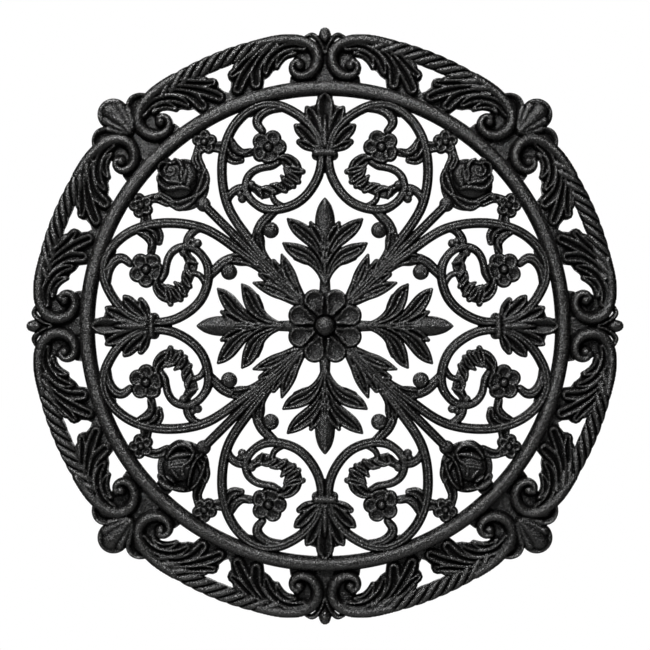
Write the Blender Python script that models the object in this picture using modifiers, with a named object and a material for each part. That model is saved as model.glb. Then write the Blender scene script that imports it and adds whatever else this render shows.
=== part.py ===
"""Round openwork wall medallion, cast in one piece: a rope rim and a plain ring joined by eight scrolled
cartouches, around a field of vine loops, flowers, palmettes, roses and leaf sprays about a central rosette.

The relief is drawn in millimetres from the medallion's centre, x to the right and y up, for one eighth of the
round: from the upright axis to the diagonal on its right. Mirrors make the other seven eighths. A stroke is a
list of (x, y, half width) along a bar, a stem or a lobe of leaf. The flat back lies on the wall, at world y = 0,
and the front faces -y.
"""

import math

import bmesh
import bpy
from mathutils import Matrix

MM = 0.001

# Driving sizes, in millimetres
RIM_RADIUS = 285.7
RIM_HALF_WIDTH = 8.5
RING_RADIUS = 237.9
RING_HALF_WIDTH = 7.7
RING_DEPTH = 13.0
GROUND_DEPTH = 4.5
ROSETTE_DEPTH = 10.0
BOSS_DEPTH = 16.0
ROSE_DEPTH = 15.0
ROSE_BACK_DEPTH = 8.0
FLOWER_DEPTH = 11.0
BERRY_DEPTH = 9.0
LINK_BUD_DEPTH = 8.6
EYE_DEPTH = 12.5

# The radii of ring and rim that the strokes below are drawn for
DRAWN_RADII = (237.9, 285.7)

# Height of a ridge for each millimetre of its half width
BAR_STEEPNESS = 2.2
SCROLL_STEEPNESS = 2.6
LEAF_STEEPNESS = 1.55
BROAD_STEEPNESS = 1.05
SHELL_STEEPNESS = 0.8
ROSE_STEEPNESS = 3.6

# The rope
STRANDS_ROUND = 144
STRAND_SLANT = math.radians(38)
STRAND_DEPTH = 11.5
STRAND_GROOVE_DEPTH = 7.0
ROPE_STARTS = math.radians(11.5)
ROPE_ENDS = math.radians(34)

# Crests of a ridge of one unit in half width and height
SHARP_CREST = ((0, 1),)
ROUND_CREST = ((0.7, 0.72), (0, 1), (-0.7, 0.72))
ROPE_SHOULDER = 0.72
ROPE_SHOULDER_DEPTH = 0.55

# Height of a solid's underside over the back: below it where the back is cut flat, over it for what lies on top
CUT_UNDERSIDE = -1.0
LAID_UNDERSIDE = 0.5
RIDGE_FOOT = 0.3
CUTTER_DEPTH = 60.0
CUTTER_REACH = 900.0

# How far the ring runs past the eighth's ends before the eighth is cut
RING_PAST = math.radians(2)

# How finely round shapes are divided
RING_PIECES = 12
BUTTON_SIDES = 8
BUD_SIDES = 6
PETAL_SIDES = 7
BOSS_SIDES = 6
SHELL_SIDES = 14
ROSETTE_PETAL_SIDES = 10
ROUND_SIDES = 16

# Radius at the top of a button, as a share of the one at its foot
BUTTON_TOP_SHARE = 0.5
FLOWER_GROUND_TOP_SHARE = 0.9
PETAL_TOP_SHARE = 0.55
FLOWER_BOSS_TOP_SHARE = 0.45
HUB_TOP_SHARE = 0.8
ROSE_BACK_TOP_SHARE = 0.72
SHELL_TOP_SHARE = 0.75

# Depth of a flower's petals and of the rosette's hub, as a share of the flower's or the rosette's
PETAL_DEPTH_SHARE = 0.75
HUB_DEPTH_SHARE = 0.6

# What the eighth and the whole keep of their triangles, and what counts as on the back
EIGHTH_KEEPS = 0.36
WHOLE_KEEPS = 0.8
ON_BACK = 0.01
WELD = 0.001
MIRROR_WELD = 0.0001
SHARP_FROM = math.radians(30)

IRON = (0.028, 0.027, 0.027, 1.0)
IRON_ROUGHNESS = 0.5
IRON_METALLIC = 0.6

# Vine loops of the field
LOOP = [(61, 66, 4.5), (77.4, 86.4, 4.5), (90.6, 104.4, 4.5), (98, 119.6, 4.5), (102, 137, 4.5), (103, 155, 4.5),
        (101.7, 171.5, 4.5), (97.2, 188, 4.5), (89, 202.6, 4.5), (77, 214.2, 4.5), (62, 220.8, 4.5),
        (46, 220.2, 4.5), (30, 213, 4.5), (17.5, 203.2, 4.5), (8.5, 191, 4.4), (3.8, 177, 4.2)]
CURL = [(4, 170, 4.4), (4.6, 157, 4.6), (9.2, 144.5, 4.6), (16.8, 132.6, 4.6), (27.8, 123.2, 4.6), (40, 118, 4.6),
        (53, 116.3, 4.6), (65.5, 119.4, 4.5), (75, 127.4, 4.4), (79.3, 139, 4.4), (76.2, 150, 4.2),
        (66, 157.2, 4), (52.8, 160, 3.8), (47, 164, 3.4)]
BRANCH = [(42, 119.6, 3.4), (50.2, 124.9, 3.3), (52.7, 133, 3)]
LINK = [(79, 139, 4.5), (86, 135, 5), (92.5, 131.6, 4.7), (98, 125, 4.4)]
HOOK = [(95.6, 195, 4), (92.6, 186, 5.3), (88.6, 178, 5.2), (82, 173.2, 4.8), (74, 173.6, 4.3)]
LOWER_HOOK = [(100, 181, 4), (97, 170.6, 5), (90.5, 165.6, 4.8), (83.4, 166, 3.6)]
TOP_BRANCH = [(45, 217.4, 4), (57, 215, 4.9), (66.4, 208, 5.2), (67.4, 201.5, 4.8), (62.5, 194, 4)]
TOP_GUSSET = [(70, 214, 4), (75, 211.6, 3)]
WREATH = [(47, 167.5, 4.4), (37.5, 166.3, 5.6), (31.6, 158, 8), (34, 146, 7.4), (45, 138, 5.4), (62, 133.4, 6.2),
          (74, 140, 4.4)]
WREATH_TIPS = [[(29, 151.5, 5), (20.3, 154.8, 1.6)], [(37, 143, 6), (26.6, 140.6, 1.6)]]
LINK_BUD = (83.5, 128.6, 6.0)

# Large flower in the curl
FLOWER = (56.7, 177.1)
PETALS = [(51.3, 188.2), (65.1, 185.1), (65.9, 170.6), (54.4, 166.3), (44.1, 177.5)]
PETAL_RADIUS = 7.8
FLOWER_BOSS_RADIUS = 5.4

# Berry and the leaf behind it
BERRY = (54.2, 95.9, 8.2)
BERRY_STEM = [(50.5, 115, 4.6), (57, 108.8, 5.2), (63.6, 101.6, 5.6), (67.6, 93.4, 5.2)]
BERRY_LEAF = [(67.2, 93, 5), (66.2, 84, 7.4), (63, 73, 6.2), (54, 58, 6)]

# Palmette, collar and leaf sprays
PALMETTE = [[(0, 242, 7.4), (0, 228, 8.5), (0, 218, 11), (0, 200, 8), (0, 178, 4.5)],
            [(17.4, 219, 3), (13.6, 210, 6), (4.5, 183, 3.5)],
            [(29, 200.6, 2), (23, 192.6, 5.6), (8, 178, 3.6)],
            [(24.6, 182.4, 3), (18, 180, 5), (8, 177, 3.5)]]
COLLAR = [(-8.6, 171.5, 5.2), (8.6, 171.5, 5.2)]
CROTCH = [(0, 166, 4), (0, 156, 3)]
SPRAY_STEM = [(0, 30, 6.6), (0, 50, 7), (0, 80, 9), (0, 102, 10.4), (0, 114, 8.4), (0, 127.4, 1.2)]
SPRAY_LEAVES = [[(3, 42, 5), (8.4, 53, 6.4), (17, 63.4, 7.8), (27, 71, 7.8), (35, 77.4, 5), (41.6, 82.4, 1.2)],
                [(4, 68, 5), (9, 78, 5.5), (17, 89, 6.8), (26, 97.6, 6.6), (33, 103, 4.4), (37.4, 106.8, 1.2)],
                [(5, 104, 5), (12.6, 99.6, 4.6)]]
CORNER_SPRAY = [[(24, 24, 7), (40, 40, 9), (55, 55, 8.6)],
                [(23, 29, 6), (30, 42, 6.4), (36.4, 54.6, 7), (43, 70.6, 1.6)],
                [(29, 43, 4), (30.6, 57.4, 1.2)]]

# Central rosette
ROSETTE_PETALS = 8
ROSETTE_PETAL_AT = 27.6
ROSETTE_PETAL_RADIUS = 11.0
ROSETTE_HUB_RADIUS = 24.0
BOSS_RADIUS = 11.0

# Rose spray on each diagonal
ROSE_STEM = [(52, 52, 4.8), (117, 117, 4.8)]
ROSE_BACK = (141.5, 141.2, 27.0)
CALYX = (121.5, 121.5, 7.6)
ROSE_TO_RING = (160.5, 160.5, 8.6)
SPRIG = (120.4, 183.6)
SPRIG_PETALS = 5
SPRIG_PETAL_AT = 7.4
SPRIG_PETAL_RADIUS = 5.8
SPRIG_BOSS_RADIUS = 5.0
SPRIG_STEM = [(106, 179.3, 7.2), (113, 179.3, 7.2)]
SPRIG_LEAF = [(126.6, 174, 5.2), (127.4, 167, 5.4), (124.4, 158, 5.5)]
OPEN_ROSE = [[(151.2, 162.7, 2.4), (162.6, 161, 2.8), (164.6, 152.4, 2.8), (161.5, 147.2, 2.4)],
             [(161.5, 147.2, 2.6), (155.8, 141.9, 3.4), (147.8, 142, 3.2), (141, 140, 2.4)],
             [(145.5, 165, 3), (135.7, 154.6, 4.2), (130.5, 143.2, 4), (134, 138.6, 2.6)],
             [(147.2, 158.1, 2.4), (139.4, 151, 2.6), (141.6, 141.6, 2.4)],
             [(166.7, 145.5, 2.6), (159.2, 135.6, 3.6), (143, 136.3, 3.2), (136.6, 132.8, 2.4)],
             [(128.8, 167, 2.4), (123.7, 155.8, 3.4), (117.6, 145.5, 3.4), (122.5, 133.4, 2.6)],
             [(153, 121.6, 2.2), (144.3, 119.2, 3.2), (137.4, 121, 3.2), (129, 128.6, 2.4)]]
OPEN_ROSE_HEART = (152.2, 151.6, 7.6, 0.6)
BUD_HEART = (145, -139, 12, 0.4)
BUD = [[(157.5, -131, 2.2), (148, -119.6, 3), (136, -120.2, 3), (130, -126, 2.2)],
       [(156, -134, 2.4), (144.6, -128.6, 4.2), (133.4, -129.4, 2.4)],
       [(156, -142, 2.2), (148, -137.6, 3.2), (138, -136.8, 2.2)],
       [(154.6, -143.6, 2.2), (145.6, -152, 2.8)],
       [(160.6, -148.6, 2.2), (149.6, -157.6, 2.8)],
       [(151, -162, 3), (159, -158.6, 4.2), (164.4, -152.6, 2.4)],
       [(128.6, -128, 2.4), (132.6, -139, 3), (139.6, -147, 3), (141.4, -157, 2.4)]]

# Border scroll, for the right half of a cartouche that stands upright
SCROLL_BAR = [(66, 281.8, 4.4), (52, 284.8, 4.7), (40, 286.6, 4.7), (29, 286.5, 4.7), (19, 284, 4.9),
              (10.6, 277.6, 5.3), (6.9, 267, 5.4), (9.4, 257, 5.3), (17.4, 250.9, 4.8), (27, 250.4, 4.2),
              (32.7, 257.2, 3.8), (28, 263.6, 3)]
SCROLL_EYE = (25.8, 257.6, 5.6)
SCROLL_WEB = [(10, 280), (27.4, 269), (29, 262), (22, 251), (10, 254), (6, 266)]
LEAF_LOBES = [[(21, 277, 3.4), (32, 278.6, 4.2), (44, 275.4, 4.4), (53, 267.6, 4), (57.6, 255.4, 1.6)],
              [(47, 280, 3), (60, 270.8, 4.6), (70, 255, 5.4), (72, 242, 2)],
              [(56, 281, 3), (68, 267, 5), (80, 251.4, 5.8), (92, 234.4, 2)],
              [(64, 281, 3), (77, 267, 5), (87, 256, 5), (97, 250.6, 2)]]
LEAF_GROUND = [(22, 276), (26.4, 268), (33, 267.6), (39.6, 264.4), (44.6, 256.4), (48.8, 254.3), (52, 249.4),
               (57, 247), (59, 238), (96, 224), (95.6, 234.4), (94, 243), (98, 248), (96.6, 254), (92, 259.6),
               (84, 268), (75, 276), (50, 283), (30, 283)]
CORNER_SCROLL_SHIFT = 2.4
CARDINAL_WEB_HALF_WIDTH = 9.0
CORNER_WEB_HALF_WIDTH = 11.4
WEB_TOP = 287.0
KNOB = [(0, 292.2, 6), (0, 286, 3.6), (0, 276, 2)]
SEPAL = [(2, 279, 3), (7, 286, 4.2), (12.5, 288.4, 3.6), (18.6, 287.4, 2.4)]
SHELL_SPOON = [(0, 298.6, 16.2), (0, 290, 12.5), (0, 276, 4)]
SHELL_SIDE = [(-34.6, 290.4, 3), (-29, 293, 5.2), (-22, 293.4, 6.4), (-13, 287.5, 5), (-4, 278, 3)]


def clear_scene():
    """Empties the scene that this file is run in."""
    for obj in list(bpy.data.objects):
        bpy.data.objects.remove(obj, do_unlink=True)


def new_collection(name, hidden=False):
    """A collection linked to the scene, left out of renders when it is hidden."""
    collection = bpy.data.collections.new(name)
    bpy.context.scene.collection.children.link(collection)
    collection.hide_render = hidden
    return collection


def cast_metal():
    """Black-painted cast metal with a satin sheen."""
    material = bpy.data.materials.new("black_cast_metal")
    material.use_nodes = True
    shader = material.node_tree.nodes["Principled BSDF"]
    shader.inputs["Base Color"].default_value = IRON
    shader.inputs["Roughness"].default_value = IRON_ROUGHNESS
    shader.inputs["Metallic"].default_value = IRON_METALLIC
    return material


def fitted(stroke):
    """A stroke drawn for the first radii of ring and rim, moved to suit the radii that are set."""
    drawn_ring, drawn_rim = DRAWN_RADII
    band = (RIM_RADIUS - RING_RADIUS) / (drawn_rim - drawn_ring)
    moved = []
    for x, y, *rest in stroke:
        drawn = math.hypot(x, y)
        if drawn < drawn_ring:
            share = RING_RADIUS / drawn_ring
        else:
            share = (RING_RADIUS + (drawn - drawn_ring) * band) / drawn
        moved.append((x * share, y * share, *rest))
    return moved


def upright(stroke):
    """A stroke left in the upright cartouche's place."""
    return stroke


def cornered(stroke):
    """A stroke of an upright cartouche's right half, as the near half of the one on the diagonal."""
    half = math.sqrt(0.5)
    return [(half * (y - x), half * (y + x), *rest) for x, y, *rest in stroke]


def on_circle(radius, angle):
    """The point at this radius and at this angle, clockwise from the upright axis."""
    return radius * math.sin(angle), radius * math.cos(angle)


class Relief:
    """Solids that overlap, each an object of one collection, in millimetres with the front towards +z."""

    def __init__(self, name, underside=CUT_UNDERSIDE):
        self.solids = new_collection(name, hidden=True)
        self.underside = underside

    def add_solid(self, name, shape):
        """Keeps a closed shape as an object of its own."""
        mesh = bpy.data.meshes.new(name)
        shape.to_mesh(mesh)
        shape.free()
        obj = bpy.data.objects.new(name, mesh)
        obj.display_type = "WIRE"
        obj.hide_render = True
        self.solids.objects.link(obj)
        return obj

    def take_solid_of(self, curve_object):
        """Keeps the solid that a curve object makes, and removes the object."""
        bpy.context.view_layer.update()
        graph = bpy.context.evaluated_depsgraph_get()
        mesh = bpy.data.meshes.new_from_object(curve_object.evaluated_get(graph))
        solid = bmesh.new()
        solid.from_mesh(mesh)
        bmesh.ops.remove_doubles(solid, verts=solid.verts, dist=WELD)
        bmesh.ops.recalc_face_normals(solid, faces=solid.faces)
        bmesh.ops.transform(solid, matrix=curve_object.matrix_world, verts=solid.verts)
        self.add_solid(curve_object.name, solid)
        bpy.data.meshes.remove(mesh)
        bpy.data.objects.remove(curve_object, do_unlink=True)

    def new_curve(self, name, points, dimensions, cyclic=False):
        """A straight-sided curve object through (x, y, radius) points."""
        curve = bpy.data.curves.new(name, "CURVE")
        curve.dimensions = dimensions
        spline = curve.splines.new("POLY")
        spline.points.add(len(points) - 1)
        for point, (x, y, radius) in zip(spline.points, points):
            point.co = (x, y, 0, 1)
            point.radius = radius
        spline.use_cyclic_u = cyclic
        obj = bpy.data.objects.new(name, curve)
        self.solids.objects.link(obj)
        return obj

    def ridges(self, strokes, steepness, crest=SHARP_CREST):
        """A ridge along each stroke, as high as its half width times the steepness."""
        foot = self.underside * RIDGE_FOOT
        outline = [(-1 + foot / steepness, foot, 1), (1 - foot / steepness, foot, 1)]
        outline += [(across, up * steepness, 1) for across, up in crest]
        section = self.new_curve("section", outline, "2D", cyclic=True)
        for stroke in strokes:
            path = self.new_curve("ridge", fitted(stroke), "3D")
            path.data.twist_mode = "Z_UP"
            path.data.bevel_mode = "OBJECT"
            path.data.bevel_object = section
            path.data.use_fill_caps = True
            self.take_solid_of(path)
        bpy.data.objects.remove(section, do_unlink=True)

    def ground(self, outline):
        """A flat plate of the ground's depth with this outline."""
        points = [(x, y, 1) for x, y in fitted(outline)]
        plate = self.new_curve("ground", points, "2D", cyclic=True)
        plate.data.fill_mode = "BOTH"
        plate.data.extrude = (GROUND_DEPTH - self.underside) / 2
        plate.location.z = (GROUND_DEPTH + self.underside) / 2
        self.take_solid_of(plate)

    def button(self, x, y, radius, depth, top_share=BUTTON_TOP_SHARE, sides=BUTTON_SIDES, turn=0.0):
        """A round boss or petal, which narrows to a share of its radius at the top."""
        (x, y), = fitted([(x, y)])
        place = Matrix.Translation((x, y, (depth + self.underside) / 2)) @ Matrix.Rotation(turn, 4, "Z")
        shape = bmesh.new()
        bmesh.ops.create_cone(shape, cap_ends=True, segments=sides, radius1=radius,
                              radius2=radius * top_share, depth=depth - self.underside, matrix=place)
        self.add_solid("button", shape)

    def flower(self, x, y, petals, petal_radius, depth, boss_radius):
        """Petals around a higher boss, on a low round ground."""
        reach = max(math.dist((x, y), petal) for petal in petals)
        self.button(x, y, reach, GROUND_DEPTH, FLOWER_GROUND_TOP_SHARE)
        petal_depth = depth * PETAL_DEPTH_SHARE
        for petal_x, petal_y in petals:
            turn = math.atan2(petal_y - y, petal_x - x)
            self.button(petal_x, petal_y, petal_radius, petal_depth, PETAL_TOP_SHARE, PETAL_SIDES, turn)
        self.button(x, y, boss_radius, depth, FLOWER_BOSS_TOP_SHARE, BOSS_SIDES)


def add_ring(relief):
    """The plain ring over an eighth of the round and a little more."""
    stroke = []
    for piece in range(RING_PIECES + 1):
        angle = (math.tau / 8 + 2 * RING_PAST) * piece / RING_PIECES - RING_PAST
        stroke.append((*on_circle(DRAWN_RADII[0], angle), RING_HALF_WIDTH))
    relief.ridges([stroke], RING_DEPTH / RING_HALF_WIDTH, ROUND_CREST)


def add_cartouche(relief, place, shift, web_half_width):
    """Half of a border cartouche: a scrolled bar, its eye, a leaf of four lobes and the ground behind them."""
    bar = [(x + shift, y, half_width) for x, y, half_width in SCROLL_BAR]
    relief.ridges([place(bar)], SCROLL_STEEPNESS)
    relief.ridges([place(lobe) for lobe in LEAF_LOBES], LEAF_STEEPNESS)
    (x, y), = place([(SCROLL_EYE[0] + shift, SCROLL_EYE[1])])
    relief.button(x, y, SCROLL_EYE[2], EYE_DEPTH)
    relief.ground(place(LEAF_GROUND))
    relief.ground(place([(x + shift, y) for x, y in SCROLL_WEB]))
    past = -web_half_width / 2
    foot = DRAWN_RADII[0]
    web = [(past, foot), (web_half_width, foot), (web_half_width, WEB_TOP), (past, WEB_TOP)]
    relief.ground(place(web))


def add_crowns(relief):
    """The knob over the upright cartouche, and the shell over the one on the diagonal."""
    relief.ridges([KNOB, SEPAL], LEAF_STEEPNESS)
    relief.button(*KNOB[0], EYE_DEPTH)
    relief.ridges([cornered(SHELL_SPOON), cornered(SHELL_SIDE)], SHELL_STEEPNESS)
    spoon, = cornered(SHELL_SPOON[:1])
    relief.button(*spoon, EYE_DEPTH, SHELL_TOP_SHARE, SHELL_SIDES)


def add_field(relief):
    """Vine loops, the large flower, the palmette and the leaf sprays."""
    bars = [LOOP, CURL, BRANCH, LINK, HOOK, LOWER_HOOK, TOP_BRANCH, TOP_GUSSET, COLLAR, CROTCH, ROSE_STEM]
    relief.ridges(bars, BAR_STEEPNESS)
    relief.ridges([WREATH, *WREATH_TIPS, BERRY_STEM, *PALMETTE[1:]], LEAF_STEEPNESS)
    relief.ridges([BERRY_LEAF, PALMETTE[0], SPRAY_STEM, *SPRAY_LEAVES, *CORNER_SPRAY], BROAD_STEEPNESS)
    relief.button(*LINK_BUD, LINK_BUD_DEPTH, sides=BUD_SIDES)
    relief.button(*BERRY, BERRY_DEPTH)
    relief.flower(*FLOWER, PETALS, PETAL_RADIUS, FLOWER_DEPTH, FLOWER_BOSS_RADIUS)


def add_rosette(relief):
    """The petals and the boss at the centre, the petals of one eighth and its neighbours."""
    apart = math.tau / ROSETTE_PETALS
    hub_depth = ROSETTE_DEPTH * HUB_DEPTH_SHARE
    relief.button(0, 0, ROSETTE_HUB_RADIUS, hub_depth, HUB_TOP_SHARE, ROUND_SIDES)
    for petal in (-0.5, 0.5, 1.5):
        x, y = on_circle(ROSETTE_PETAL_AT, petal * apart)
        turn = -petal * apart
        relief.button(x, y, ROSETTE_PETAL_RADIUS, ROSETTE_DEPTH, sides=ROSETTE_PETAL_SIDES, turn=turn)
    relief.button(0, 0, BOSS_RADIUS, BOSS_DEPTH, sides=ROUND_SIDES)


def add_rose_backing(relief):
    """What roses and buds share: the round back, the calyx, the link to the ring and the small flower."""
    relief.button(*ROSE_BACK, ROSE_BACK_DEPTH, ROSE_BACK_TOP_SHARE, ROUND_SIDES)
    relief.button(*CALYX, FLOWER_DEPTH)
    relief.button(*ROSE_TO_RING, BERRY_DEPTH)
    relief.ridges([SPRIG_STEM, SPRIG_LEAF], LEAF_STEEPNESS)
    x, y = SPRIG
    petals = []
    for petal in range(SPRIG_PETALS):
        across, up = on_circle(SPRIG_PETAL_AT, petal * math.tau / SPRIG_PETALS)
        petals.append((x + across, y + up))
    relief.flower(x, y, petals, SPRIG_PETAL_RADIUS, FLOWER_DEPTH, SPRIG_BOSS_RADIUS)


def rope_section(shape, underside, angle, depth):
    """A slanting cut through the rope, along one strand or along the groove beside it."""
    lean = 1 / (math.tan(STRAND_SLANT) * RIM_RADIUS)
    corners = []
    for across, up in ((-1, underside), (-ROPE_SHOULDER, depth * ROPE_SHOULDER_DEPTH), (0, depth),
                       (ROPE_SHOULDER, depth * ROPE_SHOULDER_DEPTH), (1, underside)):
        out = across * RIM_HALF_WIDTH
        corners.append(shape.verts.new((*on_circle(RIM_RADIUS + out, angle + out * lean), up)))
    return corners


def add_rope(relief, start):
    """A run of rope lofted from strand to groove to strand, from the strand nearest to an angle."""
    pitch = math.tau / STRANDS_ROUND
    first = round(start / pitch)
    last = first + round((ROPE_ENDS - ROPE_STARTS) / pitch)
    shape = bmesh.new()
    sections = []
    for strand in range(first, last):
        sections.append(rope_section(shape, relief.underside, strand * pitch, STRAND_DEPTH))
        sections.append(rope_section(shape, relief.underside, (strand + 0.5) * pitch, STRAND_GROOVE_DEPTH))
    sections.append(rope_section(shape, relief.underside, last * pitch, STRAND_DEPTH))
    for section, following in zip(sections, sections[1:]):
        for corner in range(len(section)):
            after = (corner + 1) % len(section)
            shape.faces.new((section[corner], section[after], following[after], following[corner]))
    shape.faces.new(sections[0])
    shape.faces.new(sections[-1])
    bmesh.ops.recalc_face_normals(shape, faces=shape.faces)
    relief.add_solid("rope", shape)


def add_petals(relief, strokes):
    """The petals of a rose or a bud on the right diagonal, and of its twin on the left."""
    for side in (-1, 1):
        relief.ridges([[(side * x, y, half_width) for x, y, half_width in stroke] for stroke in strokes],
                      ROSE_STEEPNESS)


def evaluated(obj):
    """The mesh that an object's modifiers make."""
    bpy.context.view_layer.update()
    graph = bpy.context.evaluated_depsgraph_get()
    return bpy.data.meshes.new_from_object(obj.evaluated_get(graph))


def drop_crumbs(shapes):
    """Keeps the one large body and drops the crumbs that Booleans leave in corners."""
    islands = []
    left = set(shapes.verts)
    while left:
        island = {left.pop()}
        edge_of_island = list(island)
        while edge_of_island:
            vertex = edge_of_island.pop()
            near = {edge.other_vert(vertex) for edge in vertex.link_edges} - island
            island |= near
            left -= near
            edge_of_island += near
        islands.append(island)
    body = max(islands, key=len)
    bmesh.ops.delete(shapes, geom=[vertex for vertex in shapes.verts if vertex not in body], context="VERTS")


def join(obj, relief):
    """Unites an object with all the solids of a relief.

    The exact solver leaves open edges here, where hundreds of solids cross at once, so the manifold one is used.
    """
    modifier = obj.modifiers.new("join", "BOOLEAN")
    modifier.operation = "UNION"
    modifier.solver = "MANIFOLD"
    modifier.operand_type = "COLLECTION"
    modifier.collection = relief.solids


def flatten_back(obj):
    """Takes away all that lies behind the back's plane."""
    shape = bmesh.new()
    size = Matrix.Diagonal((CUTTER_REACH, CUTTER_REACH, CUTTER_DEPTH, 1))
    bmesh.ops.create_cube(shape, size=1, matrix=Matrix.Translation((0, 0, -CUTTER_DEPTH / 2)) @ size)
    modifier = obj.modifiers.new("flatten_back", "BOOLEAN")
    modifier.operation = "DIFFERENCE"
    modifier.solver = "MANIFOLD"
    modifier.object = Relief("behind").add_solid("behind", shape)


def mirror(obj, plane, axes):
    """Mirrors an object in planes through the middle of another one, and drops what lies past them."""
    modifier = obj.modifiers.new("mirror", "MIRROR")
    modifier.mirror_object = plane
    modifier.use_axis = axes
    modifier.use_bisect_axis = axes
    modifier.merge_threshold = MIRROR_WELD


def thin_out(obj, keeps):
    """Drops the triangles that matter least, down to a share of them."""
    modifier = obj.modifiers.new("thin_out", "DECIMATE")
    modifier.ratio = keeps


def finished(obj):
    """An object's mesh with its modifiers carried out, one body with a true flat back."""
    mesh = evaluated(obj)
    shapes = bmesh.new()
    shapes.from_mesh(mesh)
    drop_crumbs(shapes)
    for vertex in shapes.verts:
        if vertex.co.z < ON_BACK:
            vertex.co.z = 0
    loose = [edge for edge in shapes.edges if not edge.link_faces]
    bmesh.ops.delete(shapes, geom=loose, context="EDGES")
    shapes.to_mesh(mesh)
    shapes.free()
    return mesh


def main():
    clear_scene()
    parts = new_collection("metal_wall_medallion")
    start = Relief("start")
    add_ring(start)
    ring, = start.solids.objects

    eighth = Relief("eighth")
    add_field(eighth)
    add_cartouche(eighth, upright, 0, CARDINAL_WEB_HALF_WIDTH)
    add_cartouche(eighth, cornered, CORNER_SCROLL_SHIFT, CORNER_WEB_HALF_WIDTH)
    add_crowns(eighth)
    add_rosette(eighth)
    add_rose_backing(eighth)
    join(ring, eighth)
    flatten_back(ring)
    thin_out(ring, EIGHTH_KEEPS)

    body = bpy.data.objects.new("body", finished(ring))
    start.solids.objects.link(body)
    diagonal = bpy.data.objects.new("diagonal", None)
    diagonal.rotation_euler.z = math.radians(45)
    start.solids.objects.link(diagonal)
    mirror(body, diagonal, (False, True, False))
    mirror(body, None, (True, True, False))

    lay = Relief("lay", LAID_UNDERSIDE)
    for side in (-1, 1):
        for x, y, radius, top_share in (OPEN_ROSE_HEART, BUD_HEART):
            lay.button(side * x, y, radius, ROSE_DEPTH, top_share)
    add_petals(lay, OPEN_ROSE)
    add_petals(lay, BUD)
    for quarter in range(4):
        add_rope(lay, ROPE_STARTS + quarter * math.tau / 4)
        add_rope(lay, -ROPE_ENDS + quarter * math.tau / 4)
    join(body, lay)
    thin_out(body, WHOLE_KEEPS)

    mesh = finished(body)
    mesh.name = "medallion"
    mesh.transform(Matrix.Rotation(math.pi / 2, 4, "X") @ Matrix.Scale(MM, 4))
    mesh.shade_smooth()
    mesh.set_sharp_from_angle(angle=SHARP_FROM)
    mesh.materials.clear()
    mesh.materials.append(cast_metal())
    parts.objects.link(bpy.data.objects.new("medallion", mesh))


main()
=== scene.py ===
"""Openwork wall medallion of black cast metal: its fine relief, finish, light and camera.

The relief is drawn in millimetres from the medallion's centre, x to the right, y up and z towards
the viewer. Each detail is a stroke: a soft path with a half width at each of its points, a height
and a profile.
"""

import logging
import math
from collections.abc import Callable, Iterable
from dataclasses import dataclass, replace
from enum import Enum

import bpy
import numpy as np
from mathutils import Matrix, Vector
from mathutils.geometry import delaunay_2d_cdt


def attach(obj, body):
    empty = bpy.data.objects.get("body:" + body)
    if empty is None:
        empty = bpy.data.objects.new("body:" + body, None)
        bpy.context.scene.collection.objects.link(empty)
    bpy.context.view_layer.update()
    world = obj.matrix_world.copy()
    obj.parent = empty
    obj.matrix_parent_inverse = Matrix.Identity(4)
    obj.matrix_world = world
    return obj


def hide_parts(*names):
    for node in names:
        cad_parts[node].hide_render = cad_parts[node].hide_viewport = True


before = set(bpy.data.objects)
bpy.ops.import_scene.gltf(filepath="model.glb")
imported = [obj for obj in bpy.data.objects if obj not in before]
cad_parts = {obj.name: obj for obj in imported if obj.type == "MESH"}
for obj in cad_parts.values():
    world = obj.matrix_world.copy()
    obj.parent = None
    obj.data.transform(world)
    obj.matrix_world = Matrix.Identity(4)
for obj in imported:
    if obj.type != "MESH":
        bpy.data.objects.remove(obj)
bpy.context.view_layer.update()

log = logging.getLogger("medallion")

Point = tuple[float, ...]
Path = tuple[Point, ...]

MM = 0.001
ROOT_HALF = math.sqrt(0.5)
AXES = ("top", "right", "bottom", "left")
DIAGONALS = ("upper_right", "lower_right", "lower_left", "upper_left")
# Depth of the casting's grain, how many fine and wide grains go to a millimetre, and their shares
GRAIN, FINE_GRAINS, WIDE_GRAINS = 0.07, 2.9, 0.9
FINE_SHARE, WIDE_SHARE = 1.4, 0.6
# Large odd numbers that only scramble a place
FINE_SEED, WIDE_SEED, SCRAMBLE = (127.1, 311.7), (269.5, 183.3), 43758.5
# Distance between the layers in which the backs of overlapping pieces lie, no two in one plane
HAIR = 0.05
# Height of a stroke's edges, where it names none
FOOT = 2.6
# Distance between the places where a stroke is measured, and how far past its edges it is
PATH_STEP, REACH = 1.6, 2.0
# Depth inside the outline of a place far outside it, and of one too near it to tell
OUTSIDE, JUST_OUTSIDE = -9.0, -0.02
# The highest that the front stands where it meets the walls
RIM_TOP = 3.2
# Half widths at which a hollow and a bar's channel begin, and the spans over which they deepen
HOLLOW_FROM, HOLLOW_SPAN = 1.9, 2.6
CHANNEL_FROM, CHANNEL_SPAN = 2.4, 2.0
# Depth of a bar's channel, as a share of its height
CHANNEL_DEPTH = 0.2
# Widths over which the sides of a bar and of a flat ground rise
BAR_SIDE, FLAT_SIDE = 3.0, 1.2
# The most of a half width that a bar's side and a raised edge take, and the least that is measured
MOST_SIDE, MOST_RIM, LEAST_HALF, LEAST_HOLLOW = 0.85, 0.8, 0.01, 0.5
# Exponents that make the sides of a bar and of a ridge bulge
BAR_BULGE, RIDGE_BULGE = 0.9, 0.85
# What delaunay_2d_cdt takes to give only the triangles within the edges, and its nearest distance
WITHIN_EDGES, SAME_PLACE = 1, 1e-7
# Angle from which an edge between two faces is left sharp
SHARP = math.radians(56)


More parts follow.
